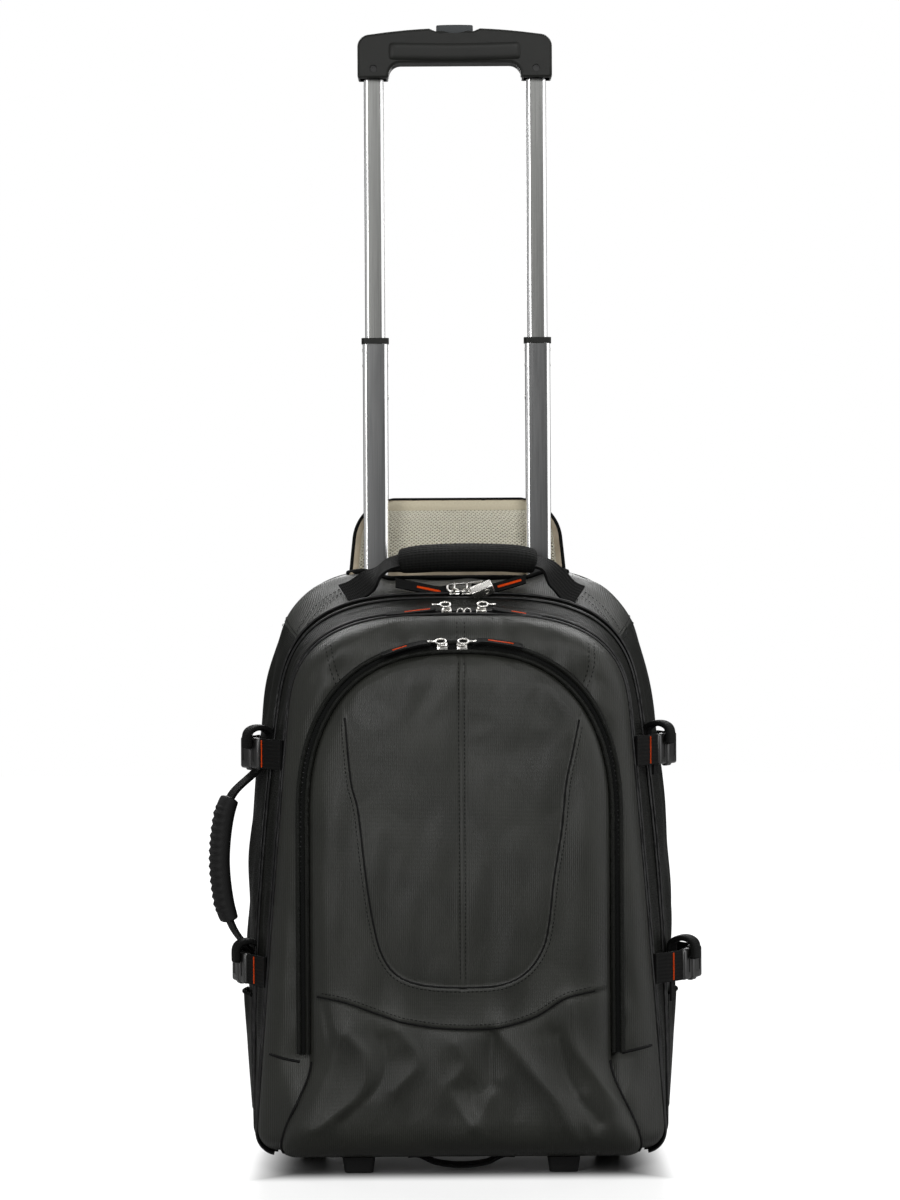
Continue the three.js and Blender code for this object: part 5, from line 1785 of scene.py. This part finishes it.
# Zip pulls
# Two nickel-plated sliders on each zip, each with a wire ring and a tag of black webbing whose fold
# is closed by an orange bartack. The tags lie out to both sides along the zip.
TAG_REACH = 0.052
TAG_STEPS = {
    "main": (0.004, 0.014, 0.034, TAG_REACH),
    "organiser": (0.0095, 0.018, 0.034, TAG_REACH),
    "pocket": (0.0095, 0.018, 0.034, TAG_REACH),
}
PULLS = {
    "main_zip_pull_left": (-0.003, -1, (-0.036, -0.014), (0.5012, 0.4995, 0.5034, 0.5070)),
    "main_zip_pull_right": (0.008, 1, (0.0352, 0.0563), (0.5020, 0.5000, 0.5046, 0.5098)),
    "organiser_zip_pull_left": (-0.010, -1, (-0.0459, -0.0243), (0.4838, 0.4829, 0.4812, 0.4797)),
    "organiser_zip_pull_right": (0.020, 1, (0.0468, 0.0589), (0.4838, 0.4823, 0.4796, 0.4760)),
    "pocket_zip_pull_left": (-0.014, -1, (-0.0565, -0.0445), (0.4548, 0.4546, 0.4508, 0.4450)),
    "pocket_zip_pull_right": (0.003, 1, (0.0257, 0.0470), (0.4552, 0.4566, 0.4548, 0.4515)),
}
TAG_TURNS = {"main": math.radians(60), "organiser": math.radians(17), "pocket": math.radians(20)}
MAIN_PULL_Y, MAIN_PULL_LIFT, MAIN_RING_LIFT = -0.0005, 0.0012, 0.0062
ORGANISER_PULL_Y = -0.050
POCKET_PULL_Z = 0.4515
ORGANISER_PITCH, POCKET_PITCH = math.radians(17), math.radians(78)
PULLER_PITCH = math.radians(28)
TAG_WEBBING = (0.0092, 0.0016)
RING_RADIUS, RING_WIRE = 0.0044, 0.00095
EYE_SCALE = 0.62

# Zinc die casting plated with nickel: pale, with a satin polish, slightly dulled in its hollows.
nickel = mottled("bright_nickel_plate", "#dddbd6", 0.26, 350.0, gloss=(0.18, 0.34), metallic=1.0)

slider_plates = [
    rounded_box("plate", (0.009, 0.0070, 0.0012), (0.0, 0.0, 0.0008), 0.0005, 2),
    rounded_box("plate", (0.009, 0.0064, 0.0012), (0.0, 0.0, 0.0028), 0.0005, 2),
    rounded_box("post", (0.002, 0.0030, 0.0026), (0.0033, 0.0, 0.0018), 0.0004, 2),
]
bridge_points = ((-0.0036, 0.0, 0.0030), (-0.0028, 0.0, 0.0048), (0.0, 0.0, 0.0055), (0.0036, 0.0, 0.0033))
bridge = round_cord("bridge", spline(bridge_points, 20), 0.0008)
slider_model = join("slider_model", slider_plates + [bridge])
bpy.ops.mesh.primitive_torus_add(
    major_radius=RING_RADIUS, minor_radius=RING_WIRE, major_segments=32, minor_segments=10
)
ring_model = added("ring_model")
arm = rounded_box("arm", (0.0076, 0.0022, 0.0017), (RING_RADIUS + 0.0034, 0.0, 0.0), 0.0007, 2)
puller_ring = placed("puller_ring", ring_model, (0.0, 0.0, 0.0), np.eye(3))
puller_model = join("puller_model", [puller_ring, arm])


def pitched(angle):
    """The directions of y and z after a turn about x."""
    c, s = math.cos(angle), math.sin(angle)
    return np.array([0.0, c, s]), np.array([0.0, -s, c])


for name, (x, way, tack_run, tag_heights) in PULLS.items():
    zip_name = name.split("_")[0]
    tag_x = x + way * np.array(TAG_STEPS[zip_name])
    if zip_name == "main":
        place, pitch = (x, MAIN_PULL_Y, float(top_at(0.0, MAIN_PULL_Y)) + MAIN_PULL_LIFT), 0.0
        tag_y = np.full(4, MAIN_PULL_Y + 0.0068)
    elif zip_name == "organiser":
        place, pitch = (x, ORGANISER_PULL_Y, float(top_at(0.0, ORGANISER_PULL_Y)) + 0.0001), ORGANISER_PITCH
        tag_y = np.full(4, ORGANISER_PULL_Y - 0.0010)
    else:
        place, pitch = (x, float(organiser_y(x, POCKET_PULL_Z)) - 0.0028, POCKET_PULL_Z), POCKET_PITCH
        tag_y = organiser_y(tag_x, np.array(tag_heights)) - 0.0055
    place = np.array(place)
    axis_x = np.array([1.0, 0.0, 0.0])
    axis_y, axis_z = pitched(pitch)
    metal = [placed("slider", slider_model, place, (axis_x * way, axis_y * way, axis_z))]
    if zip_name == "main":
        metal.append(placed("ring", ring_model, place + MAIN_RING_LIFT * axis_z, (axis_z, axis_y, axis_x)))
    else:
        lean_y, lean_z = pitched(PULLER_PITCH)
        above = place + 0.0012 * way * axis_x + 0.0036 * axis_z + (0.0, 0.0, 0.0040)
        metal.append(placed("puller", puller_model, above, (axis_x * way, lean_y * way, lean_z)))
    if zip_name == "organiser":
        eye = place - 0.0118 * way * axis_x + (0.0, -0.0016, 0.0012)
        metal.append(placed("eye", ring_model, eye, EYE_SCALE * np.array((axis_x, -UP, (0.0, 1.0, 0.0)))))
    fit(join(f"{name}_metal", metal), nickel, "bright_metal", name)
    tag_across, tag_out = pitched(TAG_TURNS[zip_name])
    tag_path = spline(np.column_stack((tag_x, tag_y, tag_heights)), 60)
    fit(strap(f"{name}_tag", tag_path, tag_across, *TAG_WEBBING, 6), webbing, "webbing")
    near = int(np.clip(np.argmin(np.abs(tag_path[:, 0] - sum(tack_run) / 2)), 2, 57))
    slope = unit(tag_path[near + 2] - tag_path[near - 2])
    tack_long = abs(tack_run[1] - tack_run[0])
    tack = bartack(f"{name}_bartack", tag_path[near] + 0.0009 * tag_out, slope, tag_out, tack_long)
    fit(tack, orange_thread, "webbing")

# Padlock
# A small luggage padlock through the rings of the two main pulls: a die-cast body with a round key
# cylinder, and a bent shackle, all plated with nickel.
ALONG_X, ALONG_Y = (0, math.pi / 2, 0), (math.pi / 2, 0, 0)
ring_height = float(top_at(0.0, MAIN_PULL_Y)) + MAIN_PULL_LIFT + MAIN_RING_LIFT
LOCK_SIZE, LOCK_TILT, LOCK_ROLL = (0.0205, 0.0098, 0.0098), math.radians(22), math.radians(42)
LOCK_PLACE = (0.0212, -0.0070, 0.5002)
SHACKLE = (
    (0.018, -0.003), (0.005, -0.003), (-0.006, -0.003), (-0.0085, -0.0018), (-0.0092, 0.0), (-0.0085, 0.0018),
    (-0.006, 0.003), (0.008, 0.004), (0.022, 0.006),
)


def disc(name, vertices, radius, depth, place, turn):
    """A cylinder at a place, turned so that its axis lies along x or y."""
    bpy.ops.mesh.primitive_cylinder_add(
        vertices=vertices, radius=radius, depth=depth, location=place, rotation=turn
    )
    return added(name)


shackle_path = spline([(x, MAIN_PULL_Y, ring_height + z) for x, z in SHACKLE], 70)
shackle = round_cord("shackle", shackle_path, 0.0012)
lock_body = rounded_box("lock_body", LOCK_SIZE, (0.0, 0.0, 0.0), 0.0014)
key_cylinder = disc("key_cylinder", 24, 0.0028, 0.0012, (0.0035, -LOCK_SIZE[1] / 2, 0.0), ALONG_Y)
sink_face(key_cylinder, (0, -1, 0), 0.0011, 0.0016)
lock_parts = join("lock_parts", [lock_body, key_cylinder])
take(lock_parts)
lock_parts.rotation_euler = (LOCK_ROLL, -LOCK_TILT, 0.0)
lock_parts.location = LOCK_PLACE
bpy.ops.object.transform_apply(location=True, rotation=True, scale=True)
padlock = join("luggage_padlock", [shackle, lock_parts])
fit(padlock, nickel, "bright_metal", "padlock", smooth_angle=35)

# Telescopic handle
# Two pairs of drawn aluminium tubes slide in fixed tubes behind the main compartment. The faces are brushed
# and anodised grey. Their rounded edges and narrow sides take a near white copy of the metal, a painted
# highlight on top of their real reflections. Black collars guide them.
TUBE_X, TUBE_Y = 0.073, 0.074
LOWER_TUBE = (0.0226, 0.0130, 0.0013, 0.388, 0.722)
UPPER_TUBE = (0.0180, 0.0095, 0.0012, 0.681, 0.985)
COLLAR = (0.0246, 0.0150, 0.0023, 0.7224, 0.7275)
TUBE_ROUND = 0.004

# Anodised aluminium, brushed along the tube: grey, with fine upright scratches about 0.3 mm apart that are
# drawn at 0.9 mm so that they show, and a silky stretched shine. A near white copy of the same aluminium is a
# painted highlight for the tubes' rounded edges.
BRUSH_PITCH = 0.0009
BRUSH_STRETCH = (1.0, 1.0, 0.012)
aluminium = []
for name, dark, light, roughness, gloss, detail, stretch in (
    ("brushed_grey_anodising", "#5c5d5d", "#7c7c7c", 0.36, (0.28, 0.48), 3.0, 0.5),
    ("brushed_pale_anodising", "#696a68", "#898987", 0.36, (0.28, 0.48), 3.0, 0.5),
    ("die_drawn_aluminium", "#f2f2f2", "#f2f2f2", 0.22, (0.16, 0.3), 2.0, 0.0),
):
    metal, tree, shader = new_material(name, dark, roughness, 1.0)
    brush_place = add_node(tree, "ShaderNodeTexCoord")
    brush_stretch = add_node(
        tree, "ShaderNodeMapping", {"Vector": brush_place.outputs["Object"], "Scale": BRUSH_STRETCH}
    )
    brush_lines = add_node(
        tree,
        "ShaderNodeTexNoise",
        {"Vector": brush_stretch.outputs["Vector"], "Scale": 1 / BRUSH_PITCH, "Detail": detail},
    )
    brush_gloss = add_node(
        tree,
        "ShaderNodeMapRange",
        {"Value": brush_lines.outputs["Fac"], "To Min": gloss[0], "To Max": gloss[1]},
    )
    brush_colour = add_node(
        tree,
        "ShaderNodeMix",
        {0: brush_lines.outputs["Fac"], 6: linear(dark), 7: linear(light)},
        data_type="RGBA",
    )
    brush_finish = {
        "Base Color": brush_colour.outputs[2],
        "Roughness": brush_gloss.outputs["Result"],
        "Anisotropic": stretch,
    }
    fill(tree, shader, brush_finish)
    aluminium.append(metal)
grey_aluminium, pale_aluminium, painted_highlight_aluminium = aluminium

# ABS, injection moulded with an eroded grain of about 0.6 mm: matt black for the grip
# and housings, and a cool mid grey for the button.
PLASTIC_GRAIN = 0.0006
black_plastic, grey_plastic = (
    mottled(name, tones[0], 0.48, 60.0, tones=tones, grain=(PLASTIC_GRAIN, 0.25), shine=0.3)
    for name, tones in (
        ("grained_black_plastic", ("#0b0c09", "#181915")),
        ("grained_grey_plastic", ("#2c2f31", "#44484a")),
    )
)

# Steel blackened in an oil bath: dark, half dull, with a fine mottle.
black_steel = mottled("blackened_steel", "#050505", 0.5, 500.0, gloss=(0.3, 0.5), metallic=0.1)


def drawn_tube(name, side, sizes):
    """A drawn tube: a plane with rounded corners, its outline extruded upwards and given a wall."""
    width, depth, wall, bottom, top = sizes
    bpy.ops.mesh.primitive_plane_add(size=1.0, location=(side * TUBE_X, TUBE_Y, bottom))
    piece = added(name, (width, depth, 1.0))
    bpy.ops.object.mode_set(mode="EDIT")
    bpy.ops.mesh.select_all(action="SELECT")
    bpy.ops.mesh.bevel(offset=TUBE_ROUND, segments=8, affect="VERTICES")
    bpy.ops.mesh.select_all(action="SELECT")
    bpy.ops.mesh.delete(type="ONLY_FACE")
    bpy.ops.mesh.select_mode(type="EDGE")
    bpy.ops.mesh.select_all(action="SELECT")
    bpy.ops.mesh.extrude_region_move(TRANSFORM_OT_translate={"value": (0.0, 0.0, top - bottom)})
    bpy.ops.mesh.select_all(action="SELECT")
    bpy.ops.mesh.normals_make_consistent(inside=False)
    bpy.ops.object.mode_set(mode="OBJECT")
    give_wall(piece, wall)
    return piece


def paint_edge_highlight(piece):
    """Gives the rounded edges and narrow sides of a tube the near white metal, a painted highlight."""
    piece.data.materials.append(painted_highlight_aluminium)
    for face in piece.data.polygons:
        face.material_index = 0 if abs(face.normal.y) > 0.97 else 1


RIVETS = ((0.7168, 0.0014), (0.7030, 0.0014))
LOCK_PIN = (0.6746, 0.0026)
# Painted highlight: each tube's rounded edges and narrow sides take the near white copy of the metal.
for word, side in SIDES:
    lower_tube = drawn_tube(f"lower_tube_{word}_drawn", side, LOWER_TUBE)
    fit(lower_tube, grey_aluminium, "aluminium", f"lower_tube_{word}", body="lower_stage", smooth_angle=30)
    paint_edge_highlight(lower_tube)
    upper_tube = drawn_tube(f"upper_tube_{word}_drawn", side, UPPER_TUBE)
    fit(upper_tube, pale_aluminium, "aluminium", f"upper_tube_{word}", body="upper_stage", smooth_angle=30)
    paint_edge_highlight(upper_tube)
    collar = drawn_tube(f"tube_collar_{word}_moulded", side, COLLAR)
    fit(collar, black_plastic, "black_plastic", f"tube_collar_{word}", body="lower_stage", smooth_angle=30)
    studs = []
    for z, radius in RIVETS:
        for face_side in (1, -1):
            studs.append((side * TUBE_X + face_side * LOWER_TUBE[0] / 2, z, radius))
    studs.append((side * (TUBE_X - LOWER_TUBE[0] / 2), *LOCK_PIN))
    heads = []
    for x, z, radius in studs:
        heads.append(disc("head", 20, radius, 0.0007, (x, TUBE_Y, z), ALONG_X))
        sink_face(heads[-1], (1, 0, 0), 0.0004, -0.00005)
    fit(join(f"tube_rivets_{word}", heads), nickel, "bright_metal", body="lower_stage")
    paint(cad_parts[f"fixed_tube_{word}"], grey_aluminium)

# Grip and release button
# The grip is moulded over the ends of the upper tubes: a bar with a finger roll and a leg over each
# tube, two sunk screws, and a well for the release button, with a dip in front of it for the thumb.
GRIP_HALF, GRIP_INNER = 0.0873, 0.0595
GRIP_FOOT, GRIP_BAR, GRIP_SHOULDER, GRIP_CROWN = 0.960, 0.9735, 0.9995, 0.0055
GRIP_DEPTH = 0.026
BUTTON_HALF, BUTTON_Y, BUTTON_Z = 0.0165, (0.0646, 0.0834), (0.997, 1.0078, 1.0082)
NOTCH_X, NOTCH_DEPTH = (0.0172, 0.0228), 0.0026
ROLL_HALF, ROLL_DEEP, ROLL_HIGH, ROLL_Z = 0.0650, 0.0146, 0.0096, 0.9843
SCREW_RADIUS, SCREW_Z, SCREW_DEEP = 0.0029, 0.9687, 0.0024
WELL_GAP, WELL_FLOOR = 0.0004, 0.993
SMILE_RADIUS, SMILE_Z = 0.026, 1.026
ARM_ROUND, END_ROUND, GRIP_ROUND, BUTTON_ROUND = 0.0105, 0.011, 0.0036, 0.0012
SHARP = math.radians(40)


def round_off(piece, width, segments):
    """Rounds all the sharp edges of a piece."""
    bevel = piece.modifiers.new("round", "BEVEL")
    bevel.width = width
    bevel.segments = segments
    bevel.limit_method = "ANGLE"
    bevel.angle_limit = SHARP
    apply_modifiers(piece)


def crossing(x, z):
    """A test for the edges that run from front to rear at a place across, on both sides, and up."""
    def wanted(a, b):
        level = abs(a.z - z) < 1e-4 and abs(b.z - z) < 1e-4
        return level and abs(a.x - b.x) < 1e-5 and abs(abs(a.x) - x) < 1e-4
    return wanted


grip = block(
    "grip_moulding",
    (2 * GRIP_HALF, GRIP_DEPTH, GRIP_SHOULDER - GRIP_BAR),
    (0.0, TUBE_Y, (GRIP_BAR + GRIP_SHOULDER) / 2),
)
cut_across(grip, (GRIP_INNER, -GRIP_INNER))
pick_faces(grip, lambda face: face.normal.z < -0.9 and abs(face.center.x) > GRIP_INNER)
bpy.ops.mesh.extrude_region_move(TRANSFORM_OT_translate={"value": (0.0, 0.0, GRIP_FOOT - GRIP_BAR)})
bpy.ops.object.mode_set(mode="OBJECT")
bevel_edges(grip, crossing(GRIP_INNER, GRIP_BAR), ARM_ROUND, 8)
bevel_edges(grip, crossing(GRIP_HALF, GRIP_SHOULDER), END_ROUND, 8)
notch_cuts = [side * x for side in (1, -1) for x in NOTCH_X]
cut_across(grip, [0.008 * k for k in range(-6, 7)] + [0.062, -0.062, 0.070, -0.070] + notch_cuts)
for vertex in grip.data.vertices:
    rise = max(1 - (vertex.co.x / 0.076) ** 2, 0.0)
    share = min(max((vertex.co.z - GRIP_BAR) / (GRIP_SHOULDER - GRIP_BAR), 0.0), 1.0)
    notch = NOTCH_DEPTH * (share > 0.9 and abs(vertex.co.x) < NOTCH_X[0] + 1e-4)
    vertex.co.z += GRIP_CROWN * rise * share - notch


def cut_out(piece, cutter):
    """Takes one shape out of another and removes the cutter."""
    cut = piece.modifiers.new("cut", "BOOLEAN")
    cut.object = cutter
    cut.operation = "DIFFERENCE"
    cut.solver = "EXACT"
    apply_modifiers(piece)
    bpy.data.objects.remove(cutter)


well = rounded_box(
    "well",
    (2 * (BUTTON_HALF + WELL_GAP), BUTTON_Y[1] - BUTTON_Y[0] + 2 * WELL_GAP, 0.04),
    (0.0, (BUTTON_Y[0] + BUTTON_Y[1]) / 2, WELL_FLOOR + 0.02),
    0.0012,
)
smile = disc("smile", 64, SMILE_RADIUS, 0.012, (0.0, 0.060, SMILE_Z), ALONG_Y)
round_off(grip, GRIP_ROUND, 2)
cut_out(grip, well)
cut_out(grip, smile)
for side in (1, -1):
    hole_place = (side * TUBE_X, TUBE_Y - GRIP_DEPTH / 2, SCREW_Z)
    cut_out(grip, disc("screw_hole", 32, SCREW_RADIUS + 0.0003, 2 * SCREW_DEEP, hole_place, ALONG_Y))
fit(grip, black_plastic, "black_plastic", "grip", body="upper_stage", smooth_angle=20)

roll_points = [(x, TUBE_Y, ROLL_Z - sag) for x, sag in ((-ROLL_HALF, 0.0), (0.0, 0.0012), (ROLL_HALF, 0.0))]
finger_roll = sleeve(
    "grip_finger_roll",
    spline(roll_points, 40),
    (0.0, 1.0, 0.0),
    lambda v: ROLL_DEEP * tapered(v, 0.08),
    lambda v, s: ROLL_HIGH * tapered(v, 0.05),
    sides=64,
    rows=60,
    squareness=4.5,
)
fit(finger_roll, black_plastic, "black_plastic", body="upper_stage", smooth_angle=60)

rim_pieces = []
for side in (1, -1):
    rim = rounded_box(
        "rim",
        (2 * (GRIP_HALF - TUBE_X) - 0.0012, GRIP_DEPTH - 0.0016, 0.0032),
        (side * (GRIP_HALF + GRIP_INNER) / 2, TUBE_Y, GRIP_FOOT + 0.0016),
        0.0014,
    )
    rim_pieces.append(rim)
fit(join("grip_leg_rims", rim_pieces), buckle_plastic, "black_plastic", body="upper_stage")

screws = []
for side in (1, -1):
    screw_place = (side * TUBE_X, TUBE_Y - GRIP_DEPTH / 2 + SCREW_DEEP - 0.0004, SCREW_Z)
    screws.append(disc("screw", 28, SCREW_RADIUS, 0.0012, screw_place, ALONG_Y))
    sink_face(screws[-1], (0, -1, 0), 0.0011, 0.0006)
fit(join("grip_screws", screws), black_steel, "bright_metal", body="upper_stage", smooth_angle=30)

button = block(
    "release_button_moulding",
    (2 * BUTTON_HALF, BUTTON_Y[1] - BUTTON_Y[0], BUTTON_Z[1] - BUTTON_Z[0]),
    (0.0, sum(BUTTON_Y) / 2, (BUTTON_Z[0] + BUTTON_Z[1]) / 2),
)
cut_across(button, [0.0033 * k for k in range(-4, 5)])
for vertex in button.data.vertices:
    if vertex.co.z > BUTTON_Z[1] - 1e-4:
        vertex.co.z += (BUTTON_Z[2] - BUTTON_Z[1]) * (1 - (vertex.co.x / BUTTON_HALF) ** 2)
round_off(button, BUTTON_ROUND, 3)
fit(button, grey_plastic, "black_plastic", "release_button", body="button", smooth_angle=35)

# Feet and wheels
# Two moulded rubber feet under the front edge hold the bag upright, and at the rear two wheels with
# rubber tyres turn on axles in moulded housings let into the lower corners.
FOOT_X, FOOT_Y, FOOT_SIZE = 0.088, -0.069, (0.0284, 0.024, 0.0136)
FOOT_TAPER = (0.86, 0.8)
WHEEL_X, WHEEL_Y, WHEEL_RADIUS, WHEEL_WIDTH = 0.1318, 0.080, 0.030, 0.021
TYRE_WALL, TYRE_ROUND, RIM_DEPTH, RIM_WIDTH, HUB_RISE = 0.0062, 0.0018, 0.0024, 0.0125, 0.0014
for word, side in SIDES:
    foot = block(f"front_foot_{word}_rubber", FOOT_SIZE, (side * FOOT_X, FOOT_Y, FOOT_SIZE[2] / 2))
    for vertex in foot.data.vertices:
        if vertex.co.z < 1e-4:
            vertex.co.x = side * FOOT_X + (vertex.co.x - side * FOOT_X) * FOOT_TAPER[0]
            vertex.co.y = FOOT_Y + (vertex.co.y - FOOT_Y) * FOOT_TAPER[1]
    bevel_edges(foot, lambda a, b: abs(a.z - b.z) > 0.005, 0.004, 5)
    bevel_edges(foot, lambda a, b: a.z < 1e-4 and b.z < 1e-4, 0.0012, 3)
    fit(foot, rubber, "rubber", f"front_foot_{word}", smooth_angle=35)

    wheel_place = (side * WHEEL_X, WHEEL_Y, WHEEL_RADIUS)
    wheel = disc(f"wheel_{word}_tyred", 72, WHEEL_RADIUS, WHEEL_WIDTH, wheel_place, ALONG_X)
    pick_faces(wheel, lambda face: abs(face.normal.x) > 0.9)
    bpy.ops.mesh.inset(thickness=TYRE_WALL)
    bpy.ops.mesh.extrude_region_shrink_fatten(TRANSFORM_OT_shrink_fatten={"value": -RIM_DEPTH})
    bpy.ops.mesh.inset(thickness=RIM_WIDTH)
    bpy.ops.mesh.extrude_region_shrink_fatten(TRANSFORM_OT_shrink_fatten={"value": HUB_RISE})
    bpy.ops.object.mode_set(mode="OBJECT")
    round_off(wheel, TYRE_ROUND, 3)
    fit(wheel, rubber, "rubber", f"wheel_{word}", body=f"wheel_{word}_body", smooth_angle=35)
    wheel.data.materials.append(black_plastic)
    for face in wheel.data.polygons:
        out = math.hypot(face.center.y - WHEEL_Y, face.center.z - WHEEL_RADIUS)
        face.material_index = 1 if out < WHEEL_RADIUS - TYRE_WALL - 0.0004 else 0
    paint(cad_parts[f"wheel_housing_{word}"], black_plastic)

# Shoulder straps
# Two padded straps on the back panel: foam under ribbed nylon, edged with binding, narrowing to
# plain webbing near the bag's foot.
SHOULDER_HALF, SHOULDER_TAPER = 0.028, 0.014
BINDING_CORD = 0.0013


def shoulder_half(v):
    """Half the width of a shoulder strap along it."""
    return SHOULDER_HALF - SHOULDER_TAPER * smooth((v - 0.55) / 0.2)


def shoulder_thickness(v, s):
    """Half the thickness of a shoulder strap along it: foam above, webbing below."""
    foam = 0.0022 + 0.0023 * smooth(v / 0.12) - 0.0033 * smooth((v - 0.62) / 0.12)
    return foam * tapered(v, 0.004)


for word, side in SIDES:
    strap_points = (
        (side * 0.044, 0.1082, 0.492), (side * 0.046, 0.111, 0.476), (side * 0.054, 0.117, 0.410),
        (side * 0.072, 0.1185, 0.310), (side * 0.092, 0.117, 0.220), (side * 0.106, 0.112, 0.150),
        (side * 0.112, 0.1076, 0.112), (side * 0.113, 0.107, 0.100),
    )
    strap_path = spline(strap_points, 200)
    shoulder_strap = sleeve(
        f"shoulder_strap_{word}_pad",
        strap_path,
        (1.0, 0.0, 0.0),
        lambda v: shoulder_half(v) * tapered(v, 0.004),
        shoulder_thickness,
        sides=48,
        rows=220,
        squareness=5.0,
    )
    fit(shoulder_strap, nylon, "cloth", f"shoulder_strap_{word}", smooth_angle=50)
    bindings = []
    for edge_side in (1, -1):
        v = np.linspace(0.004, 0.996, 160)
        edge = along_path(strap_path, v) + (edge_side * shoulder_half(v))[:, None] * [1.0, 0.0, 0.0]
        bindings.append(round_cord("binding", edge, BINDING_CORD))
    fit(join(f"shoulder_strap_binding_{word}", bindings), zip_tape, "zip_tape")

# Models that were only copied go.
for model in (stitch, tooth, buckle_model, slider_model, ring_model, puller_model):
    bpy.data.objects.remove(model)
